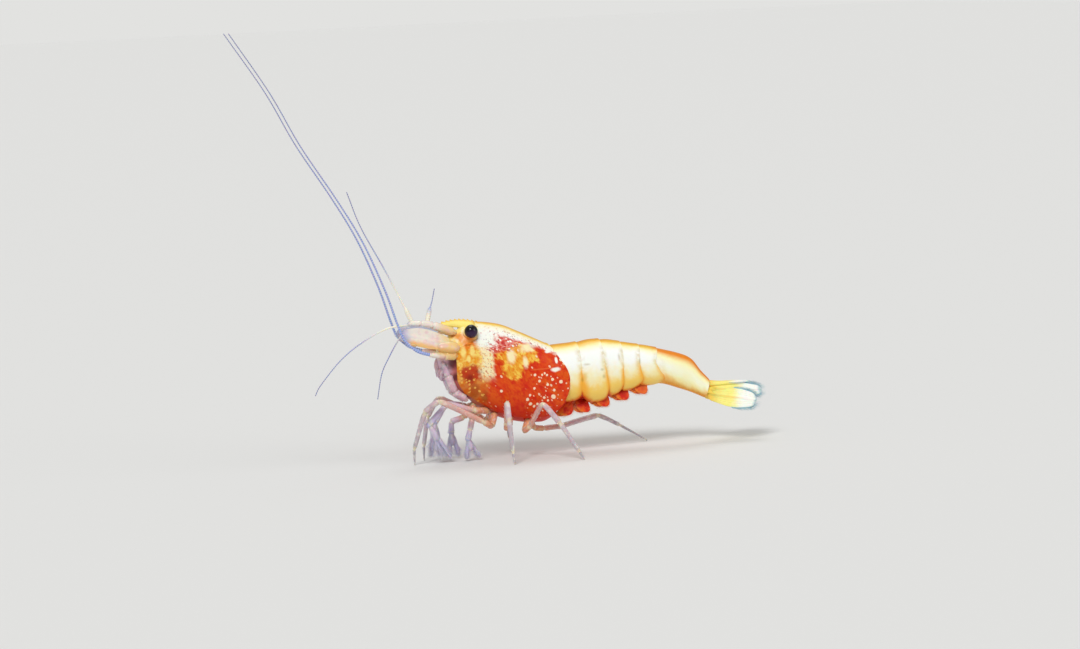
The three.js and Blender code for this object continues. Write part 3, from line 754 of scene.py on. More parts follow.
def paint_head():
    """Cream and yellow, orange round the eye, and lavender with painted shade by the mouth."""
    paint = Paint("head_shell", **SHELL_FINISH)
    at = Place(paint)
    low = paint.fall(7.5, 8.3, at.z + at.wobble * 1.2)
    rear = low * paint.rise(-7.35, -6.7, at.x + at.wobble * 0.8)
    around_eye = [(-6.2, 9.15, 0.3, 0.3), (-5.65, 8.85, 0.7, 0.36)]
    # Maroon painted shade in the gap between the mouthparts and the cheek.
    mouth_gap_shade = [(-6.85, 7.3, 0.4, 0.42), (-6.7, 6.3, 0.25, 0.3)]
    colour = paint.layers(
        srgb(254, 226, 130),
        (paint.rise(-0.1, 0.1, at.fine), CREAM),
        (low, srgb(226, 192, 208)),
        (rear * 0.85, srgb(176, 66, 42)),
        *at.marks(srgb(238, 138, 34), around_eye, 0.85, 0.5),
        *at.marks(srgb(226, 142, 66), [(-6.62, 9.55, 0.2, 0.4)], 0.75, 0.5),
        *at.marks(MAROON, mouth_gap_shade, 0.85, 0.6),
    )
    return paint.finish(colour, shell_bump(paint, at.vector))


def abdomen_flanks(paint, at, tailward):
    """Nearly white above and yellow below. The edges of a plate are orange and its foot red."""
    height = at.down + (at.broad * 0.16 + at.fine * 0.12)
    off_middle = paint.math("ABSOLUTE", at.along - 0.55)
    flank = paint.rise(0.52, 0.72, height) * paint.rise(0.24, 0.46, off_middle)
    foot = paint.rise(0.86, 0.98, height) * paint.fall(7.0, 9.0, at.x)
    lowest = paint.rise(0.94, 1.0, height) * paint.fall(4.5, 6.5, at.x)
    sixth_foot = paint.rise(0.66, 0.88, height) * paint.rise(8.4, 9.4, at.x)
    return paint.layers(
        srgb(254, 252, 246),
        (paint.rise(0.44, 0.64, height), CREAM),
        (paint.rise(0.57, 0.76, height), srgb(255, 210, 104)),
        (flank * 0.9, srgb(252, 172, 52)),
        (foot * 0.8, ORANGE),
        (lowest * 0.7, RED),
        (tailward * 0.4, srgb(254, 250, 190)),
        (sixth_foot, srgb(246, 158, 44)),
    )


# Small olive marks on the plates: x, z, half width and half height.
OLIVE_MARKS = [
    (0.65, 7.6, 0.1, 0.2), (3.1, 6.58, 0.2, 0.08), (4.2, 6.13, 0.1, 0.08),
    (4.3, 5.6, 0.1, 0.14), (2.66, 5.5, 0.1, 0.17), (5.56, 6.9, 0.08, 0.22),
    (7.15, 6.5, 0.08, 0.22),
]


def paint_abdomen():
    """Pale flanks, with broken tan lines at the joints and a golden line along the back, which is painted
    rim light.
    """
    paint = Paint("abdomen_shell", **SHELL_FINISH)
    at = Shell(paint)
    tailward = paint.rise(7.0, 10.5, at.x)
    line = paint.rise(0.76, 0.98, at.along) * paint.band(0.26, 0.62, 0.1, at.down)
    inner = paint.fall(0.16, 0.34, at.along) * paint.band(0.34, 0.62, 0.1, at.down)
    broken = paint.either(line, inner) * paint.rise(-0.2, 0.16, at.fine)
    # The golden line along the back is painted rim light, where light shines through the thin shell edge.
    # It widens and turns orange towards the tail.
    inside = (at.down + at.fine * 0.05) / (0.18 + tailward * 0.11)
    back = paint.mix(paint.rise(8.0, 9.0, at.x), srgb(240, 186, 58), srgb(236, 132, 30))
    colour = paint.layers(
        abdomen_flanks(paint, at, tailward),
        (broken * (paint.fall(8.0, 9.5, at.x) * 0.55), TAN),
        *at.marks(OLIVE, OLIVE_MARKS, 0.4, 0.8, 2.0),
        # Painted rim light along the back: pale, golden and orange lines.
        (paint.fall(0.9, 1.9, inside) * 0.8, srgb(254, 238, 150)),
        (paint.fall(0.6, 1.3, inside), back),
        (paint.fall(0.1, 0.9, inside) * 0.6, srgb(224, 134, 20)),
    )
    return paint.finish(colour, shell_bump(paint, at.skin))


def paint_tail():
    """Yellow at the root, white towards the end and clear blue at the edge."""
    paint = Paint("tail_blade", **{**SHELL_FINISH, "Subsurface_Weight": 0.3})
    vector, *_ = paint.place()
    along, across = paint.field("along"), paint.field("across")
    share = along + paint.wave(vector, 2.5) * 0.16
    rib = paint.fall(0.03, 0.12, paint.math("ABSOLUTE", across)) * paint.fall(0.5, 0.9, along)
    colour = paint.layers(
        srgb(246, 204, 84),
        (paint.rise(0.0, 0.3, share), srgb(254, 240, 138)),
        (paint.rise(0.45, 0.75, share), srgb(254, 252, 240)),
        (paint.rise(0.9, 1.0, share) * 0.8, srgb(150, 196, 206)),
        (rib * 0.4, OCHRE),
    )
    ridges = paint.math("SINE", across * 26.0)
    return paint.finish(colour, paint.bump(ridges, 0.02, 0.5))


def paint_limb(name, ground, joint, tip, base=None):
    """Translucent shell, paler at the joints, with a faint mottle and its own tone at the base."""
    finish = {"Roughness": 0.22, "Coat_Weight": 0.4, "Coat_Roughness": 0.1, "IOR": 1.38}
    inside = {"Subsurface_Weight": 0.35, "Subsurface_Scale": 0.3 * MM, "Transmission_Weight": 0.2}
    paint = Paint(name, **finish, **inside)
    vector, *_ = paint.place()
    along = paint.field("along")
    mottle = paint.wave(vector, 2.8)
    colour = paint.mix(paint.rise(0.55, 1.0, along), ground, tip)
    if base:
        rosy = paint.fall(0.3, 0.62, along) * paint.rise(-0.1, 0.08, mottle)
        colour = paint.layers(
            colour, (paint.fall(0.2, 0.56, along), base), (rosy * 0.75, srgb(228, 108, 80))
        )
    colour = paint.layers(
        colour,
        (paint.rise(-0.02, 0.2, mottle) * 0.6, WHITE),
        (paint.fall(-0.22, -0.04, mottle) * 0.22, PLUM),
        (paint.field("joint") * 0.85, joint),
    )
    return paint.finish(colour, paint.bump(mottle, 0.03, 0.4))


def paint_leaves():
    """Red with orange blotches, clearer towards the edge."""
    inside = {"Subsurface_Weight": 0.3, "Subsurface_Scale": 0.3 * MM}
    paint = Paint("swimmeret_shell", Roughness=0.5, Specular_IOR_Level=0.25, **inside)
    vector, x, _ = paint.place()
    mottle = paint.wave(vector, 2.4)
    colour = paint.layers(
        srgb(200, 26, 6),
        (paint.rise(-0.1, 0.15, mottle), srgb(226, 84, 18)),
        (paint.rise(5.5, 9.0, x) * 0.6, srgb(236, 140, 60)),
        (paint.rise(0.75, 1.0, paint.field("along")) * 0.5, OCHRE),
    )
    return paint.finish(colour, paint.bump(mottle, 0.03, 0.4))


def paint_front():
    """The antennal scales and stems: pinkish white, with a yellow lower edge and a blue tip."""
    finish = {"Roughness": 0.25, "Coat_Weight": 0.35, "Coat_Roughness": 0.1, "IOR": 1.4}
    inside = {"Subsurface_Weight": 0.3, "Subsurface_Scale": 0.3 * MM, "Transmission_Weight": 0.15}
    paint = Paint("scale_shell", **finish, **inside)
    vector, x, z = paint.place()
    broad, fine = paint.wave(vector, 1.2), paint.wave(vector, 3.0, offset=(4, 4, 1))
    # The lower edge rises forward, from z 8.2 at x -7 to z 9.2 at x -10.4.
    above_edge = z - (6.2 + x * -0.285)
    colour = paint.layers(
        srgb(250, 238, 226),
        (paint.rise(-8.3, -7.0, x + broad * 1.4), srgb(255, 218, 146)),
        (paint.rise(-0.05, 0.15, broad + fine * 0.5) * 0.55, srgb(240, 194, 200)),
        (paint.band(-0.3, 0.22, 0.2, above_edge + fine * 0.3) * 0.85, srgb(246, 186, 94)),
        (paint.fall(-10.6, -9.7, x + broad * 0.8) * 0.75, srgb(150, 170, 222)),
    )
    return paint.finish(colour, paint.bump(fine, 0.03, 0.5))


def paint_feeler(name, root, middle, reach):
    """Rings of blue-grey, in another tone for a share of the length at the root."""
    inside = {"Subsurface_Weight": 0.25, "Subsurface_Scale": 0.2 * MM, "IOR": 1.4}
    paint = Paint(name, Roughness=0.3, Coat_Weight=0.2, **inside)
    along = paint.field("along")
    colour = paint.layers(
        root,
        (paint.rise(reach * 0.4, reach, along), middle),
        (paint.rise(0.3, 1.0, along), srgb(96, 108, 164)),
        (paint.field("ring") * 0.35, srgb(238, 240, 250)),
    )
    return paint.finish(colour)


def paint_eye():
    """Black-violet, with a painted violet sheen low on the ball, and fine facets."""
    finish = {"Roughness": 0.2, "Specular_IOR_Level": 0.25, "IOR": 1.45}
    paint = Paint("eye_cornea", Coat_Weight=0.35, Coat_Roughness=0.04, **finish)
    vector, x, z = paint.place()
    inputs = {"Vector": vector, "Scale": 11.0}
    facets = paint.value("Distance", "TexVoronoi", inputs, voronoi_dimensions="3D")
    # A painted sheen: a paler violet oval low on the eye.
    violet = paint.oval(x, z, (EYE[0], EYE[2] - 0.18), (0.42, 0.3), 0.5)
    colour = paint.mix(violet, srgb(14, 4, 12), srgb(44, 12, 54))
    return paint.finish(colour, paint.bump(facets, 0.02, 0.35))


def paint_flesh():
    """The soft body between the plates: red in front, orange to yellow behind."""
    inside = {"Subsurface_Weight": 0.3, "Subsurface_Scale": 0.4 * MM}
    paint = Paint("soft_body", Roughness=0.35, Coat_Weight=0.3, **inside)
    vector, x, _ = paint.place()
    fine = paint.wave(vector, 2.2)
    shifted = x + fine * 1.5
    colour = paint.layers(
        srgb(198, 104, 70),
        (paint.rise(-5.5, -2.5, shifted), RED),
        (paint.rise(1.5, 5.0, shifted), RED_ORANGE),
        (paint.rise(5.0, 8.5, shifted), OCHRE),
    )
    return paint.finish(colour, paint.bump(fine, 0.06, 0.6))


def paint_setae(name, root, tip):
    """Fine hairs, from one colour at the root to another at the tip."""
    paint = Paint(name, Roughness=0.35, Subsurface_Weight=0.2, Subsurface_Scale=0.1 * MM)
    return paint.finish(paint.mix(paint.field("tip"), root, tip))


# ---------------------------------------------------------------- shell plates


def plate(body, front, rear, limit, size, hang=0.0, rows=40, columns=141):
    """A plate's outer surface. front and rear take an angle, limit takes a share, and size both."""
    share = np.linspace(0, 1, rows)[:, None]
    across = np.linspace(-1, 1, columns)[None, :]
    angle = across * limit(share)
    station = mix(front(np.abs(angle)), rear(np.abs(angle)), share)
    surface = body.at(station, angle, size(share, np.abs(angle)), hang * np.sin(math.pi * share))
    lengths = np.linalg.norm(np.diff(surface, axis=1), axis=2)
    arc = np.concatenate([np.zeros((rows, 1)), np.cumsum(lengths, axis=1)], axis=1)
    arc -= arc[:, columns // 2][:, None]
    skin = np.stack([surface[..., 0], arc, np.zeros_like(arc)], axis=-1)
    return surface, {"skin": skin, "down": np.abs(across), "along": share}


def carapace_front_x(from_back):
    degrees = np.degrees(from_back)
    corner = 1.1 * step(112, 175, degrees)
    return mix(-4.95, -6.6, step(52, 72, degrees)) + corner


def carapace_rear_x(from_back):
    return 0.45 + 1.42 * np.sin(from_back) ** 2 - 0.77 * (from_back / math.pi) ** 2


def carapace_size(share, from_back):
    """A raised rear margin, and a shallow groove that runs down and forward from the back."""
    degrees = np.degrees(from_back)
    groove_at = mix(0.34, 0.13, step(15, 105, degrees))
    depth = 0.016 * step(12, 35, degrees) * (1 - step(85, 115, degrees))
    groove = depth * np.exp(-(((share - groove_at) / 0.022) ** 2))
    margins = 0.012 * step(0.95, 1, share) + 0.01 * np.exp(-((share / 0.012) ** 2))
    return mix(0.985, 1.0, step(0, 0.3, share)) + margins - groove


def make_carapace():
    form = Form()
    surface, fields = plate(
        FOREBODY,
        lambda angle: FOREBODY.station_at(carapace_front_x(angle), angle),
        lambda angle: FOREBODY.station_at(carapace_rear_x(angle), angle),
        lambda share: np.radians(151 - 9 * np.abs(2 * share - 1) ** 5),
        carapace_size,
        rows=130,
        columns=181,
    )
    thick_sheet(form, surface, 0.1, **fields)
    add_rostrum(form)
    for side in SIDES.values():
        add_cheek_spine(form, side)
    return form


def add_cheek_spine(form, side):
    """The small spine on the front edge below the eye."""
    angle = math.radians(61)
    root = FOREBODY.at(FOREBODY.station_at(carapace_front_x(angle) + 0.12, angle), side * angle)
    share = np.linspace(0, 1, 10)
    path = root + share[:, None] * np.array([-0.48, 0, -0.02])
    tube(form, path, 0.085 * (1 - share) ** 0.8 + 0.008, 10, skin=path, down=0.4, along=0.0)


def add_rostrum(form):
    """An upright blade with forward teeth above and a few below, and a blunt tip."""
    x = np.linspace(-3.4, -7.68, 260)[:, None]
    top = 10.4 - 0.11 * (x + 6.3) ** 2 - 0.22 * step(-4.6, -3.4, x)
    bottom = 9.95 - 0.36 * step(-7.2, -4.6, x)
    teeth_above = ((-x * 3.1) % 1) ** 1.6 * 0.12 * step(-4.0, -4.7, x) * step(-7.65, -7.4, x)
    teeth_below = ((-x * 2.4) % 1) ** 1.6 * 0.07 * step(-6.1, -6.6, x) * step(-7.65, -7.3, x)
    closing = np.sqrt(np.clip((x + 7.7) / 0.35, 0.03, 1))
    middle = (top + bottom) / 2
    half = mix(0.08, 0.34, step(-7.4, -4.0, x)) * closing
    turn = ring_angles(18)
    height = (1 - np.cos(turn)) / 2
    side = np.sign(np.sin(turn)) * np.abs(np.sin(turn)) ** 1.2 * (1.15 - 0.6 * height)
    z = mix(middle - (middle - bottom) * closing, middle + (top - middle) * closing, height)
    z += teeth_above * height**9 - teeth_below * (1 - height) ** 9
    rings = np.stack([x + 0 * side, half * side, z], axis=-1)
    skin = np.stack([rings[..., 0], rings[..., 1] + z - 10, 0 * z], axis=-1)
    sections_body(form, rings, skin=skin, down=0.3 * (1 - height)[None], along=0.0)


def side_lobe(from_back):
    return step(70, 125, np.degrees(from_back))


def joint_station(somite, from_back):
    station, lobe = SOMITE_JOINTS[somite]
    return station + lobe * side_lobe(from_back)


def make_somite(somite):
    """One somite's plate: tucked under the plate in front, and standing proud behind."""
    over_front = 1.0 if somite == 1 else 0.0  # the second somite's lobes cover the first's
    rows, reach, corner = (48, 158, 30) if somite < 5 else (90, 176, 8)

    def front(angle):
        if somite == 0:
            return ABDOMEN.station_at(carapace_rear_x(angle) - 0.8, angle)
        tuck = TUCK * (1 - over_front * side_lobe(angle))
        return joint_station(somite - 1, angle) - tuck

    def size(share, angle):
        start = mix(0.958, 1.01, over_front * side_lobe(angle))
        return mix(start, 1.0, step(0, 0.55, share)) + 0.008 * step(0.8, 1, share)

    surface, fields = plate(
        ABDOMEN,
        front,
        lambda angle: joint_station(somite, angle),
        lambda share: np.radians(reach - corner * np.abs(2 * share - 1.05) ** 3),
        size,
        LOBE_HANG[somite],
        rows,
    )
    form = Form()
    thick_sheet(form, surface, **fields)
    return form


def make_soft_body():
    """One skin for the flesh that shows between the plates, from the head to the tail."""
    angle = ring_angles(72)
    sections = []
    for station in np.linspace(1.35, 6.0, 70):
        sternum = 0.5 * float(step(1.2, 2.2, station) * (1 - step(5.0, 6.4, station)))
        section = FOREBODY.at(station, angle, 0.88, sternum)
        section[:, 1] *= 1 - 0.22 * step(4.6, 3.4, section[:, 2])
        sections.append(section)
    for station in np.linspace(1.7, 9.87, 110):
        sections.append(ABDOMEN.at(station, angle, mix(0.88, 0.94, step(9.2, 9.7, station))))
    form = Form()
    sections_body(form, np.array(sections))
    return form


def make_head():
    """The head in front of the carapace, rounded off at the front."""
    angle = ring_angles(72)
    from_back = np.minimum(angle, 2 * math.pi - angle)
    rear = FOREBODY.station_at(carapace_front_x(from_back) + 0.6, from_back)
    share = np.linspace(0, 1, 44)[:, None]
    size = 0.935 * mix(0.7, 1, step(-0.25, 0.55, share))
    rings = FOREBODY.at(share * rear[None], angle, size)
    centre = rings[0].mean(axis=0)
    turn = np.linspace(0.98, 0, 12, endpoint=False)[:, None, None] * math.pi / 2
    front = centre + (rings[0] - centre) * np.cos(turn)
    front[..., 0] -= 0.38 * np.sin(turn)[..., 0]
    form = Form()
    sections_body(form, np.concatenate([front, rings]))
    return form


# ---------------------------------------------------------------- eyes, feelers and scales


def make_eye(side):
    turn = np.linspace(0.02, math.pi - 0.02, 41)[:, None]
    spin = ring_angles(64)
    ball = [np.sin(turn) * np.cos(spin), np.cos(turn) + 0 * spin, np.sin(turn) * np.sin(spin)]
    form = Form()
    sections_body(form, EYE * (1, side, 1) + np.stack(ball, axis=-1) * EYE_RADIUS)
    return form


def make_eyestalk(side):
    form = Form()
    share = np.linspace(0, 1, 16)
    path = smooth(on_side(side, (-5.7, 0.25, 9.3), (-5.62, 0.7, 9.42), (EYE[0], 1.2, 9.58)), share)
    tube(form, path, mix(0.3, 0.455, step(0, 1, share)), 32)
    return form


ROUNDNESS = [0.9, 0.8, 0.35, 0.2]  # how far each segment of a limb follows a smooth curve
# A segment's own shape: shares of its length, its relative thickness and how soft its skin is.
SEGMENT_SHARES = np.array([0.0, 0.04, 0.1, 0.2, 0.35, 0.5, 0.65, 0.8, 0.9, 0.96])
SEGMENT_SWELL = np.array([0.7, 0.82, 0.98, 1.0, 1.0, 1.0, 1.0, 1.02, 1.07, 0.9])
SEGMENT_SOFTNESS = [1.0, 0.8, 0.1, 0, 0, 0, 0, 0, 0.15, 0.85]
RING_LENGTH = 0.17
FEELER_TIP = 0.035


def limb(form, joints, radii, bow=0.0, sides=14):
    """A jointed limb. radii gives each segment's thickness at its start and its end."""
    joints = np.asarray(joints, float)
    share = SEGMENT_SHARES
    arch = np.sin(math.pi * share)[:, None] * np.array([0, 0, bow])
    path, sizes = [], []
    for i, (start, end) in enumerate(zip(joints[:-1], joints[1:])):
        curve = smooth(joints, (i + share) / (len(joints) - 1))
        path.append(mix(mix(start, end, share[:, None]), curve, ROUNDNESS[min(i, 3)]) + arch)
        sizes.append(mix(radii[i][0], radii[i][1], share) * SEGMENT_SWELL)
    path = np.concatenate([*path, joints[-1:]])
    sizes = np.concatenate([*sizes, [radii[-1][1]]])
    soft = np.append(np.tile(SEGMENT_SOFTNESS, len(joints) - 1), 0.0)
    tube(form, path, sizes, sides, 0.85, joint=soft, along=np.linspace(0, 1, len(path)))
    return path, sizes


def feeler(form, points, rings, radius, root_radius=0.0, root_length=1.6):
    """A ringed feeler that tapers to a fine tip, with a thicker stretch at the root if asked."""
    path = even_path(points, rings)
    length = np.linalg.norm(np.diff(path, axis=0), axis=1).sum()
    along = np.linspace(0, 1, rings)
    wave = 0.5 + 0.5 * np.cos(along * length / RING_LENGTH * 2 * math.pi)
    radii = mix(radius, FEELER_TIP, 1 - (1 - along) ** 1.6)
    thick = root_radius * (1 - step(0.55, 1.0, along * length / root_length))
    radii = np.maximum(radii, thick) * (1 - 0.1 * wave)
    tube(form, path, radii, 8, along=along, ring=wave)


ANTENNULE_JOINTS = {
    "left": [(-6.6, -0.42, 9.55), (-8.1, -0.45, 10.17), (-9.0, -0.45, 10.36), (-9.75, -0.45, 10.38)],
    "right": [(-6.6, 0.42, 9.45), (-7.55, 0.45, 9.8), (-8.15, 0.45, 10.05), (-8.6, 0.45, 10.18)],
}
# Each antennule's outer and inner feeler: its radius, the radius of its root, its ring count and
# the points it passes.
ANTENNULE_FEELERS = {
    "antennule_left_outer_flagellum": (0.085, 0.17, 480, [
        (-9.66, -0.48, 10.46), (-10.3, -0.55, 11.95), (-11.6, -0.6, 14.7), (-13.1, -0.7, 17.7),
        (-14.0, -0.8, 20.3),
    ]),
    "antennule_left_inner_flagellum": (0.085, 0.0, 480, [
        (-9.7, -0.44, 10.32), (-11.5, -0.35, 10.15), (-13.4, -0.3, 9.25), (-15.05, -0.3, 8.05),
        (-16.6, -0.3, 6.35), (-17.05, -0.3, 5.6),
    ]),
    "antennule_right_outer_flagellum": (0.09, 0.19, 150, [
        (-8.38, 0.55, 10.2), (-8.12, 0.8, 11.1), (-7.86, 1.0, 11.75), (-7.58, 1.2, 12.7),
    ]),
    "antennule_right_inner_flagellum": (0.085, 0.0, 340, [
        (-8.6, 0.44, 10.2), (-9.9, 0.2, 10.0), (-10.65, 0.1, 9.2), (-11.4, 0.1, 8.0),
        (-12.0, 0.15, 6.8), (-12.4, 0.2, 4.95),
    ]),
}


# The points that the right antenna passes. The left one mirrors it.
ANTENNA_POINTS = [
    (-8.5, 1.5, 8.08), (-9.6, 1.72, 8.5), (-10.45, 1.72, 9.3), (-10.95, 1.6, 10.6),
    (-11.75, 1.5, 13.2), (-13.13, 1.4, 16.67), (-14.84, 1.35, 19.84), (-17.25, 1.35, 23.84),
    (-19.27, 1.4, 27.8), (-21.97, 1.6, 32.15),
]


class Blade:
    """A flat blade: its outline round a midline, with a camber and a midrib."""

    def __init__(self, root, tip, hang, width, thickness, blunt, root_width, camber=0.0):
        self.root, self.tip = np.array(root, float), np.array(tip, float)
        self.length = np.linalg.norm(self.tip - self.root)
        self.along = unit(self.tip - self.root)
        hang = np.array(hang, float)
        self.flat = unit(hang - self.along * hang.dot(self.along))
        self.thin = np.cross(self.along, self.flat)
        self.width, self.thickness, self.blunt = width, thickness, blunt
        self.root_width, self.camber = root_width, camber

    def half_width(self, share):
        start = mix(self.root_width, 1, step(0, 0.5, share))
        narrowing = mix(1, self.blunt, step(0.6, 1, share))
        round_off = self.width * self.blunt / 2 / self.length
        close = np.clip((1 - share) / round_off, 0, 1)
        round_in = self.width * self.root_width / 2 / self.length
        opening = np.clip(share / round_in, 0.01, 1)
        ends = np.sqrt(1 - (1 - close) ** 2) * np.sqrt(1 - (1 - opening) ** 2)
        return self.width / 2 * start * narrowing * ends

    def edge(self, share, side):
        """A point of the edge: side is -1 or 1 across the blade."""
        share = np.asarray(share)[..., None]
        half = self.half_width(share)
        place = mix(self.root, self.tip, share) + self.flat * half * side
        return place + self.thin * self.camber * half * 2 / self.width

    def add_to(self, form, rows=70, sides=40, **fields):
        share = np.linspace(0, 1, rows)[:, None] ** 0.8
        share[-1] = 0.9995
        turn = ring_angles(sides)
        c, s = np.cos(turn), np.sin(turn)
        half = self.half_width(share)
        fullness = mix(1.6, 1.0, step(0, 0.4, share))
        depth = self.thickness / 2 * np.sqrt(half * 2 / self.width) * fullness
        rib = 1 + 0.9 * np.exp(-((c / 0.14) ** 2))
        lift = self.camber * (c * half * 2 / self.width) ** 2
        rings = (
            mix(self.root, self.tip, share)[:, None]
            + self.flat * (c * half)[..., None]
            + self.thin * (np.sign(s) * np.sqrt(np.abs(s)) * rib * depth + lift)[..., None]
        )
        sections_body(form, rings, across=c[None], along=share, **fields)

    def fringe(self, form, count, length, radius, seed, start, sides=(-1, 1), lean=0.6):
        """Hairs along the edges, which lean towards the tip."""
        random = np.random.default_rng(seed)
        share = np.linspace(start, 0.999, count)
        shortening = mix(0.6, 1, step(start, start + 0.25, share))
        for side in sides:
            root = self.edge(share, side)
            tangent = unit(root - self.edge(share - 0.01, side))
            outward = np.cross(tangent, self.thin) * side
            outward *= np.sign(np.einsum("ij,j->i", outward, self.flat) * side + 1e-6)[:, None]
            direction = outward + self.along * lean + random.normal(0, 0.06, root.shape)
            lengths = length * random.uniform(0.8, 1.15, count) * shortening
            bends = self.along * 0.12 + random.normal(0, 0.03, root.shape)
            across = 0.5 + 0.4 * side * self.half_width(share) / self.width
            places = np.stack([0.25 + 0.5 * share, across], axis=1)
            hairs(form, root - direction * 0.02, direction, lengths, radius, bends, places)


# ---------------------------------------------------------------- legs

WALKING_LEGS = {
    "leg_3_left": [
        (-3.9, -0.6, 3.3), (-4.3, -1.35, 2.55), (-5.0, -2.0, 2.95), (-8.2, -2.05, 4.72),
        (-9.25, -1.6, 3.95), (-10.08, -1.0, 1.2), (-10.08, -0.85, 0.06),
    ],
    "leg_3_right": [
        (-3.9, 0.6, 3.3), (-4.2, 1.3, 2.55), (-4.7, 1.95, 2.9), (-7.55, 1.9, 4.45),
        (-8.55, 1.5, 3.2), (-9.0, 1.1, 1.1), (-9.05, 1.02, 0.06),
    ],
    "leg_4_left": [
        (-2.7, -0.6, 3.0), (-3.15, -1.35, 2.3), (-3.3, -2.1, 2.8), (-3.42, -3.2, 4.42),
        (-3.44, -3.7, 3.2), (-3.38, -4.35, 0.85), (-3.32, -4.5, 0.06),
    ],
    "leg_4_right": [
        (-2.5, 0.6, 3.0), (-2.4, 1.3, 2.2), (-2.4, 1.9, 2.6), (-2.5, 2.55, 4.1),
        (-2.35, 2.75, 2.9), (-2.08, 2.98, 0.85), (-2.0, 3.02, 0.06),
    ],
    "leg_5_left": [
        (-1.3, -0.6, 2.8), (-1.8, -1.3, 2.02), (-1.55, -2.0, 2.4), (-0.79, -3.35, 4.15),
        (0.3, -3.9, 2.7), (1.5, -4.6, 0.6), (1.8, -4.76, 0.06),
    ],
    "leg_5_right": [
        (-1.0, 0.55, 2.8), (-0.6, 1.2, 1.85), (0.2, 1.45, 1.66), (1.6, 1.62, 1.7),
        (4.54, 2.0, 2.24), (6.2, 2.0, 1.36), (8.2, 1.86, 0.08),
    ],
}
LEG_RADII = [(0.32, 0.25), (0.25, 0.22), (0.22, 0.22), (0.21, 0.22), (0.2, 0.145), (0.12, 0.045)]

CLAW_LEGS = {
    "leg_1_left": (
        [(-5.4, -0.35, 4.0), (-5.65, -0.85, 3.05), (-5.88, -1.15, 2.35), (-6.05, -1.1, 1.7)],
        [(-6.2, -1.05, 0.32), (-5.25, -0.85, 0.3)],
    ),
    "leg_1_right": (
        [(-5.4, 0.35, 4.0), (-6.0, 0.6, 3.1), (-6.85, 0.9, 2.75), (-6.93, 0.85, 2.0)],
        [(-7.15, 0.8, 0.45), (-6.55, 0.7, 0.4)],
    ),
    "leg_2_left": (
        [(-4.4, -0.6, 3.6), (-5.6, -1.35, 3.8), (-7.55, -1.25, 4.3), (-8.9, -1.1, 2.95)],
        [(-8.1, -0.95, 0.95), (-7.4, -0.85, 0.42)],
    ),
    "leg_2_right": (
        [(-4.4, 0.6, 3.6), (-5.6, 1.3, 3.8), (-7.2, 0.95, 4.05), (-8.2, 0.45, 2.9)],
        [(-8.55, 0.3, 0.75), (-8.0, 0.2, 0.75)],
    ),
}
ARM_RADII = [(0.32, 0.28), (0.26, 0.25), (0.22, 0.27)]


def above_floor(roots, lengths):
    """Lengths of hairs, cut so that none reaches the floor."""
    return np.minimum(lengths, np.maximum(0.01, (roots[:, 2] - HAIR_CLEARANCE) / HAIR_REACH))


def limb_hairs(form, path, sizes, count, length, seed, low=0.35):
    """Sparse hairs along a limb, which point towards its tip."""
    random = np.random.default_rng(seed)
    along, normals, sideways = frames_along(path)
    pick = random.uniform(low, 0.97, count) * (len(path) - 1)
    i = pick.astype(int)
    turn = random.uniform(0, 2 * math.pi, count)[:, None]
    outward = normals[i] * np.cos(turn) + sideways[i] * np.sin(turn)
    centre = mix(path[i], path[i + 1], (pick - i)[:, None])
    roots = centre + outward * sizes[i][:, None] * 0.8
    directions = outward * 0.7 + along[i]
    places = 0.1 + 0.8 * np.stack([pick / len(path), turn[:, 0] / (2 * math.pi)], axis=1)
    lengths = above_floor(roots, length * random.uniform(0.6, 1.2, count))
    hairs(form, roots, directions, lengths, 0.014, along[i] * 0.2, places)


def make_claw_leg(joints, tips, seed):
    """An arm, a cupped palm and two spoon-shaped fingers, each with a fan of hairs."""
    limb_form, brush = Form(), Form()
    tips = np.array(tips, float)
    wrist = np.array(joints[-1])
    palm_end = mix(wrist, tips.mean(axis=0), 0.42)
    path, sizes = limb(limb_form, joints, ARM_RADII)
    share = np.linspace(0, 1, 14)
    palm = smooth([wrist, mix(wrist, palm_end, 0.5), palm_end], share)
    palm_radii = mix(0.2, 0.36, step(0, 0.8, share))
    tube(limb_form, palm, palm_radii, 18, 0.75, joint=0.0, along=0.6 + 0.2 * share)
    random = np.random.default_rng(seed)
    for number, tip in enumerate(tips):
        other = tips[1 - number]
        away = unit(tip - other)
        start = mix(wrist, palm_end, 0.6) + away * 0.08
        middle = mix(palm_end, tip, 0.45) + away * 0.12
        finger = smooth([start, palm_end + away * 0.17, middle, tip], share)
        radii = 0.22 * np.sqrt(1 - (share * 0.93) ** 2) + 0.03
        tube(limb_form, finger, radii, 16, 0.75, joint=0.0, along=0.75 + 0.25 * share)
        add_fan(brush, finger, other - tip, number, random)
    limb_hairs(brush, path, sizes, count=24, length=0.3, seed=seed + 1)
    return limb_form, brush


def add_fan(brush, finger, towards_other, number, random):
    """The fan of long hairs round the end of a finger."""
    count = 300
    pick = random.uniform(0.1, 1, count)
    roots = smooth(finger[5:], pick) + random.normal(0, 0.045, (count, 3))
    forward = unit(finger[-1] - finger[-5])
    spread = random.normal(0, 0.3, (count, 3)) * (1.1, 0.6, 0.6)
    directions = forward + spread - unit(towards_other) * random.uniform(-0.15, 0.5, (count, 1))
    lengths = above_floor(roots, random.uniform(0.55, 1.05, count))
    bends = towards_other * 0.14 + random.normal(0, 0.05, (count, 3))
    places = np.stack([0.2 + 0.6 * pick, 0.3 + 0.4 * number + random.uniform(0, 0.1, count)], axis=1)
    hairs(brush, roots, directions, lengths, 0.016, bends, places)


# Each pair of swimmerets: the root's x and z, and the tip's.
SWIMMERETS = [
    ((2.15, 4.1), (1.0, 2.85)),
    ((3.5, 3.85), (2.35, 3.12)),
    ((5.1, 4.2), (3.8, 3.45)),
    ((6.6, 4.6), (5.3, 3.82)),
    ((8.1, 4.85), (6.75, 4.24)),
]


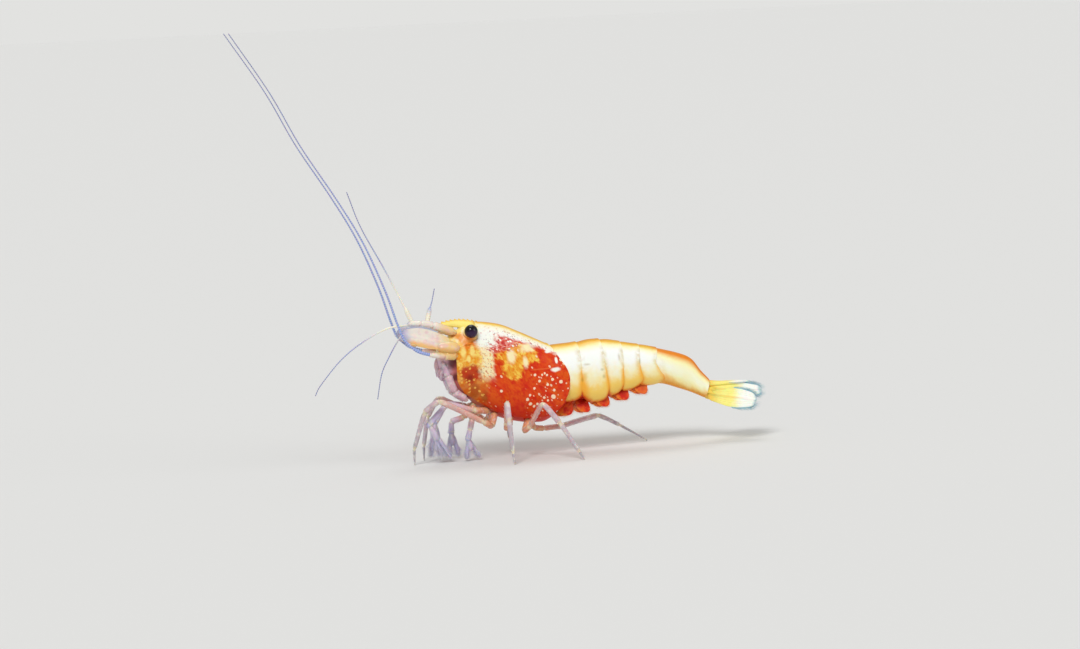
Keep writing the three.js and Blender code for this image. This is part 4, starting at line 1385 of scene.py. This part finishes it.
def make_swimmeret(root, tip, side, seed):
    """A stem and two overlapping fringed leaves."""
    leaf_form, fringe = Form(), Form()
    root = np.array([root[0] - 0.1, side * 0.4, root[1] + 0.05])
    tip = np.array([tip[0], side * 0.8, tip[1]])
    knee = mix(root, tip, 0.3)
    stem = smooth([root, mix(root, knee, 0.5), knee], SHARE_12)
    fields = {"joint": 0.0, "along": SHARE_12 * 0.3, "across": 0.0}
    tube(leaf_form, stem, mix(0.3, 0.24, SHARE_12), 16, 0.6, **fields)
    for shift, drift, width, turn in ((0.1, 0.04, 1.25, 1), (-0.2, -0.14, 1.0, 0)):
        end = tip + np.array([shift, side * drift, 0.0])
        ends = mix(root, knee, 0.7), end, (0.8, side * 0.5, -1)
        leaf = Blade(*ends, width=width, thickness=0.09, blunt=0.75, root_width=0.52)
        leaf.add_to(leaf_form, rows=30, sides=20, joint=0.0)
        leaf.fringe(fringe, count=34, length=0.2, radius=0.01, seed=seed + turn, start=0.2)
    return leaf_form, fringe


# ---------------------------------------------------------------- the whole animal


def make_shells(paints):
    shell = paints["carapace"]
    show("carapace_shell", make_carapace(), shell, "shell_orange", "carapace")
    show("soft_body", make_soft_body(), paints["flesh"], "shell_orange", "thorax")
    show("head_shell", make_head(), paints["head"], "head_yellow", "head")
    for i in range(6):
        name = f"somite_{i + 1}"
        show(name + "_plate", make_somite(i), paints["abdomen"], "abdomen_cream", name)


def make_head_parts(paints):
    for word, side in SIDES.items():
        stalk = f"eyestalk_{word}"
        show(f"eye_{word}_ball", make_eye(side), paints["eye"], "eye_black", f"eye_{word}")
        show(stalk + "_stem", make_eyestalk(side), paints["head"], "head_yellow", stalk)
        make_antennule(word, paints)
        make_antenna(word, side, paints)
        make_maxilliped(word, side, paints)
    show("mouthparts_lobe", make_mouth(), paints["mouth"], "limb_pale", "mouthparts")


def make_mouth():
    """The upper lip, the jaws beside it with their palps, and the lobes below."""
    mouth = Form()
    share = np.linspace(0, 1, 18)

    def add(side, points, radii, sides, flatten=1.0):
        path = smooth(on_side(side, *points), share)
        tube(mouth, path, radii, sides, flatten, along=share, joint=0.0)

    def swell(start, end):
        return np.sin(mix(start, end, share))

    add(RIGHT, [(-6.0, 0, 5.0), (-6.75, 0, 5.3), (-7.2, 0, 5.95)], mix(0.5, 0.3, share), 24)
    lip = [(-7.55, 0, 7.95), (-7.9, 0, 7.2), (-7.72, 0, 6.35)]
    add(RIGHT, lip, 0.27 * swell(0.5, 2.6) ** 0.7, 24, 0.8)
    for side in SIDES.values():
        for x, y, z in ((-7.05, 0.2, 5.5), (-6.9, 0.42, 5.2)):
            lobe = [(x + 0.5, y, z - 0.3), (x, y, z), (x - 0.2, y * 0.9, z + 1)]
            add(side, lobe, 0.3 * swell(0.7, 2.7), 16, 0.6)
        jaw = [(-7.2, 0.62, 7.2), (-7.58, 0.42, 6.75), (-7.6, 0.16, 6.15)]
        add(side, jaw, 0.27 * swell(0.6, 2.5) ** 0.8, 20, 0.8)
        palp = [(-7.55, 0.5, 7.0), (-7.85, 0.42, 6.75), (-7.9, 0.3, 6.25)]
        add(side, palp, 0.11 * swell(0.8, 2.9), 12)
    return mouth


def make_antennule(word, paints):
    stem = Form()
    limb(stem, ANTENNULE_JOINTS[word], [(0.36, 0.33), (0.31, 0.29), (0.27, 0.27)], sides=20)
    node = f"antennule_{word}"
    show(node + "_stem", stem, paints["front"], "limb_pale", node)
    for name, (radius, root_radius, rings, points) in ANTENNULE_FEELERS.items():
        if word in name:
            form = Form()
            feeler(form, points, rings, radius, root_radius)
            show(name + "_feeler", form, paints["antennule"], "feeler_blue", name)


def make_antenna_base(side):
    """The block of the base with its spine, and the stem that bears the feeler."""
    base = Form()
    block = smooth(on_side(side, (-6.4, 0.7, 8.45), (-7.0, 0.98, 8.5), (-7.6, 1.1, 8.55)), SHARE_12)
    tube(base, block, 0.62 * np.sin(mix(0.6, 2.2, SHARE_12)), 24, 0.8, along=SHARE_12)
    spine = smooth(on_side(side, (-7.3, 1.3, 8.2), (-7.7, 1.42, 8.12), (-8.1, 1.48, 8.1)), SHARE_12)
    tube(base, spine, 0.12 * (1 - SHARE_12) ** 0.8 + 0.01, 10, along=SHARE_12)
    joints = on_side(side, (-6.7, 0.95, 7.9), (-7.55, 1.25, 7.98), (-8.55, 1.5, 8.1))
    limb(base, joints, [(0.42, 0.38), (0.33, 0.2)], sides=22)
    return base


def make_antennal_scale(side):
    """A flat blade with a tooth on its outer edge, and the hairs of both edges."""
    scale, fringe = Form(), Form()
    ends = on_side(side, (-7.0, 1.04, 8.72), (-10.6, 0.98, 9.72), (0, 0.5, -1))
    leaf = Blade(*ends, width=1.5, thickness=0.16, blunt=0.66, root_width=0.72, camber=-side * 0.16)
    leaf.add_to(scale)
    tooth = leaf.edge(0.7, 1) + SHARE_12[:, None] * (leaf.along * 0.75 + leaf.flat * 0.05)
    tube(scale, tooth, 0.09 * (1 - SHARE_12) ** 0.7 + 0.008, 10, along=0.0, across=0.0)
    size = {"length": 0.3, "radius": 0.012}
    leaf.fringe(fringe, count=110, **size, seed=11 + side, start=0.3, sides=(-1,))
    leaf.fringe(fringe, count=40, **size, seed=15 + side, start=0.84, sides=(1,))
    return scale, fringe


def make_antenna(word, side, paints):
    node = f"antenna_base_{word}"
    show(node + "_stem", make_antenna_base(side), paints["front"], "head_yellow", node)
    scale, fringe = make_antennal_scale(side)
    node = f"antennal_scale_{word}"
    show(node + "_blade", scale, paints["front"], "limb_pale", node)
    show(node + "_fringe", fringe, paints["scale_setae"], "feeler_blue")
    form = Form()
    points = on_side(side, *ANTENNA_POINTS)
    feeler(form, points, rings=1100, radius=0.1, root_radius=0.13, root_length=2.2)
    node = f"antenna_{word}"
    show(node + "_feeler", form, paints["antenna"], "feeler_blue", node)


def make_maxilliped(word, side, paints):
    form, brush = Form(), Form()
    points = [(-6.05, 0.7, 4.6), (-6.8, 0.8, 5.2), (-7.25, 0.8, 6.4), (-7.6, 0.72, 7.35)]
    radii = [(0.36, 0.36), (0.36, 0.34), (0.32, 0.16)]
    path, sizes = limb(form, on_side(side, *points), radii, sides=18)
    limb_hairs(brush, path, sizes, count=90, length=0.26, seed=31 + side, low=0.1)
    node = f"maxilliped_{word}"
    show(node + "_limb", form, paints["mouth"], "limb_pale", node)
    show(node + "_hairs", brush, paints["pale_setae"], "limb_pale")


def make_legs(paints):
    for number, (name, joints) in enumerate(WALKING_LEGS.items()):
        form, brush = Form(), Form()
        path, sizes = limb(form, joints, LEG_RADII, 0.02)
        limb_hairs(brush, path, sizes, count=46, length=0.24, seed=50 + number)
        show(name + "_limb", form, paints["leg"], "limb_pale", name)
        show(name + "_hairs", brush, paints["pale_setae"], "limb_pale")
    for number, (name, (joints, tips)) in enumerate(CLAW_LEGS.items()):
        form, brush = make_claw_leg(joints, tips, 70 + 5 * number)
        show(name + "_limb", form, paints["claw"], "limb_pale", name)
        show(name + "_brush", brush, paints["claw_setae"], "limb_pale")


def make_swimmerets(paints):
    for word, side in SIDES.items():
        for number, (root, tip) in enumerate(SWIMMERETS):
            form, fringe = make_swimmeret(root, tip, side, 100 + 10 * number)
            node = f"swimmeret_{number + 1}_{word}"
            show(node + "_leaves", form, paints["swimmeret"], "swimmeret_red", node)
            show(node + "_fringe", fringe, paints["red_setae"], "swimmeret_red")


# The uropods of the right side: root, tip, the way the blade hangs, width and bluntness.
UROPODS = {
    "inner": ([(12.5, 0.42, 3.84), (16.55, 0.95, 3.62), (0, 0.9, -1)], 1.3, 0.62),
    "outer": ([(12.45, 0.52, 3.5), (15.95, 1.55, 2.95), (0, 0.5, -1)], 1.5, 0.72),
}


def make_tail(paints):
    ends = (12.35, 0, 4.2), (15.95, 0, 4.12), (0, 1, 0)
    telson = Blade(*ends, width=1.0, thickness=0.26, blunt=0.6, root_width=0.85, camber=0.12)
    blades = {"telson": telson}
    for word, side in SIDES.items():
        for kind, (ends, width, blunt) in UROPODS.items():
            ends = on_side(side, *ends)
            leaf = Blade(*ends, width=width, thickness=0.16, blunt=blunt, root_width=0.56)
            blades[f"uropod_{kind}_{word}"] = leaf
    for number, (node, leaf) in enumerate(blades.items()):
        form, fringe = Form(), Form()
        leaf.add_to(form)
        length = 0.24 if leaf is telson else 0.42
        leaf.fringe(fringe, 120, length, radius=0.013, seed=200 + number, start=0.5, lean=1.2)
        if leaf is telson:
            add_telson_spines(form, leaf)
        else:
            add_tail_stem(form, leaf)
        show(node + "_blade", form, paints["tail"], "tail_yellow", node)
        show(node + "_fringe", fringe, paints["blue_setae"], "tail_yellow")


def add_tail_stem(form, leaf):
    """The short stem that joins a blade of the tail fan to the last somite."""
    start = np.array([12.15, np.sign(leaf.root[1]) * 0.25, 4.0])
    end = leaf.root + leaf.along * 0.75
    path = smooth([start, mix(start, end, 0.5), end], SHARE_12)
    radii = 0.27 * np.sqrt(1 - (0.9 * SHARE_12) ** 2)
    tube(form, path, radii, 20, 0.75, along=SHARE_12 * 0.1, across=0.5)


def add_telson_spines(form, leaf):
    """Four pairs of small spines on the back of the telson."""
    radii = 0.028 * (1 - SHARE_12) ** 0.7 + 0.004
    for side in SIDES.values():
        for share in (0.42, 0.57, 0.72, 0.86):
            root = mix(leaf.root, leaf.tip, share) + leaf.flat * side * leaf.half_width(share) * 0.62
            root = root + leaf.thin * 0.1
            path = root + SHARE_12[:, None] * (leaf.along * 0.26 + leaf.thin * 0.06)
            tube(form, path, radii, 8, along=share, across=0.5)


def make_paints():
    pale, joint = srgb(222, 198, 204), srgb(246, 234, 196)
    peach = srgb(248, 192, 142)
    paints = {
        "carapace": paint_carapace(),
        "head": paint_head(),
        "abdomen": paint_abdomen(),
        "tail": paint_tail(),
        "flesh": paint_flesh(),
        "eye": paint_eye(),
        "front": paint_front(),
        "antenna": paint_feeler("antenna_shell", srgb(126, 150, 214), srgb(132, 148, 206), 0.2),
        "antennule": paint_feeler("antennule_shell", srgb(248, 240, 214), srgb(150, 160, 206), 0.5),
        "leg": paint_limb("leg_shell", pale, joint, srgb(176, 180, 188), peach),
        "claw": paint_limb("claw_shell", srgb(232, 208, 224), joint, srgb(206, 200, 232), peach),
        "mouth": paint_limb("mouth_shell", srgb(228, 190, 202), srgb(240, 216, 216), srgb(214, 184, 206)),
        "swimmeret": paint_leaves(),
    }
    # The hairs' colours, at the root and at the tip.
    setae = {
        "pale_setae": (srgb(206, 194, 200), srgb(230, 226, 230)),
        "claw_setae": (srgb(206, 192, 224), srgb(246, 242, 250)),
        "scale_setae": (srgb(176, 190, 224), srgb(206, 214, 236)),
        "red_setae": (srgb(210, 110, 60), srgb(236, 190, 150)),
        "blue_setae": (srgb(150, 192, 206), srgb(178, 214, 222)),
    }
    return paints | {name: paint_setae(name, *tones) for name, tones in setae.items()}


# ---------------------------------------------------------------- stage, lamps and camera


def make_floor():
    """A wide pale floor, in the same tone as the sky behind it."""
    size = 40.0
    mesh = bpy.data.meshes.new("floor")
    corners = [(-size, -size, 0), (size, -size, 0), (size, size, 0), (-size, size, 0)]
    mesh.from_pydata(corners, [], [(0, 1, 2, 3)])
    floor = bpy.data.objects.new("floor", mesh)
    bpy.context.scene.collection.objects.link(floor)
    paint = Paint("floor_pale", Roughness=0.9, Specular_IOR_Level=0.1)
    mesh.materials.append(paint.finish(FLOOR_COLOUR))


def make_world():
    """A pale sky: one tone for the camera, and an even light for everything else."""
    world = bpy.data.worlds.new("studio")
    bpy.context.scene.world = world
    world.use_nodes = True
    tree = world.node_tree
    light = tree.nodes["Background"]
    light.inputs["Color"].default_value = (1.0, 1.0, 1.0, 1.0)
    light.inputs["Strength"].default_value = 0.38
    backdrop = tree.nodes.new("ShaderNodeBackground")
    backdrop.inputs["Color"].default_value = FLOOR_COLOUR
    seen = tree.nodes.new("ShaderNodeLightPath").outputs["Is Camera Ray"]
    choice = tree.nodes.new("ShaderNodeMixShader")
    tree.links.new(seen, choice.inputs[0])
    tree.links.new(light.outputs[0], choice.inputs[1])
    tree.links.new(backdrop.outputs[0], choice.inputs[2])
    tree.links.new(choice.outputs[0], tree.nodes["World Output"].inputs["Surface"])


def make_sun(name, direction, spread, strength):
    """A distant lamp in a direction from the animal, as wide as its spread in degrees."""
    light = bpy.data.lights.new(name, "SUN")
    light.angle = math.radians(spread)
    light.energy = strength
    lamp = bpy.data.objects.new(name, light)
    lamp.rotation_mode = "QUATERNION"
    lamp.rotation_quaternion = Vector(direction).to_track_quat("Z", "Y")
    bpy.context.scene.collection.objects.link(lamp)


def make_lamps():
    make_sun("key", (-0.5, -0.9, 1.1), 22, 1.6)
    make_sun("fill", (1.0, -0.7, 0.5), 40, 0.6)
    make_sun("top", (0.1, 0.6, 1.4), 30, 0.6)


def make_camera():
    """The view of the animal's left side, a little from the front and above, and tilted."""
    yaw, elevation, roll = (math.radians(v) for v in (-12.0, 6.0, 2.8))
    distance = 222.2
    aim = np.array([0, 0, 9.62])
    level_back = np.array([math.sin(yaw), -math.cos(yaw), 0])
    back = level_back * math.cos(elevation) + np.array([0, 0, math.sin(elevation)])
    level = unit(np.cross(-back, (0, 0, 1)))
    upright = np.cross(level, -back)
    right = level * math.cos(roll) - upright * math.sin(roll)
    up = level * math.sin(roll) + upright * math.cos(roll)
    place = (aim + back * distance + SHIFT) * MM
    data = bpy.data.cameras.new("camera")
    data.lens = 100
    data.sensor_width = 36
    data.clip_start, data.clip_end = 0.01, 10
    camera = bpy.data.objects.new("camera", data)
    turn = Matrix((right, up, back)).transposed().to_4x4()
    camera.matrix_world = Matrix.Translation(Vector(place)) @ turn
    bpy.context.scene.collection.objects.link(camera)
    bpy.context.scene.camera = camera


bpy.context.scene.view_settings.view_transform = "Standard"
make_camera()
make_floor()
make_world()
make_lamps()
all_paints = make_paints()
make_shells(all_paints)
make_head_parts(all_paints)
make_legs(all_paints)
make_swimmerets(all_paints)
make_tail(all_paints)
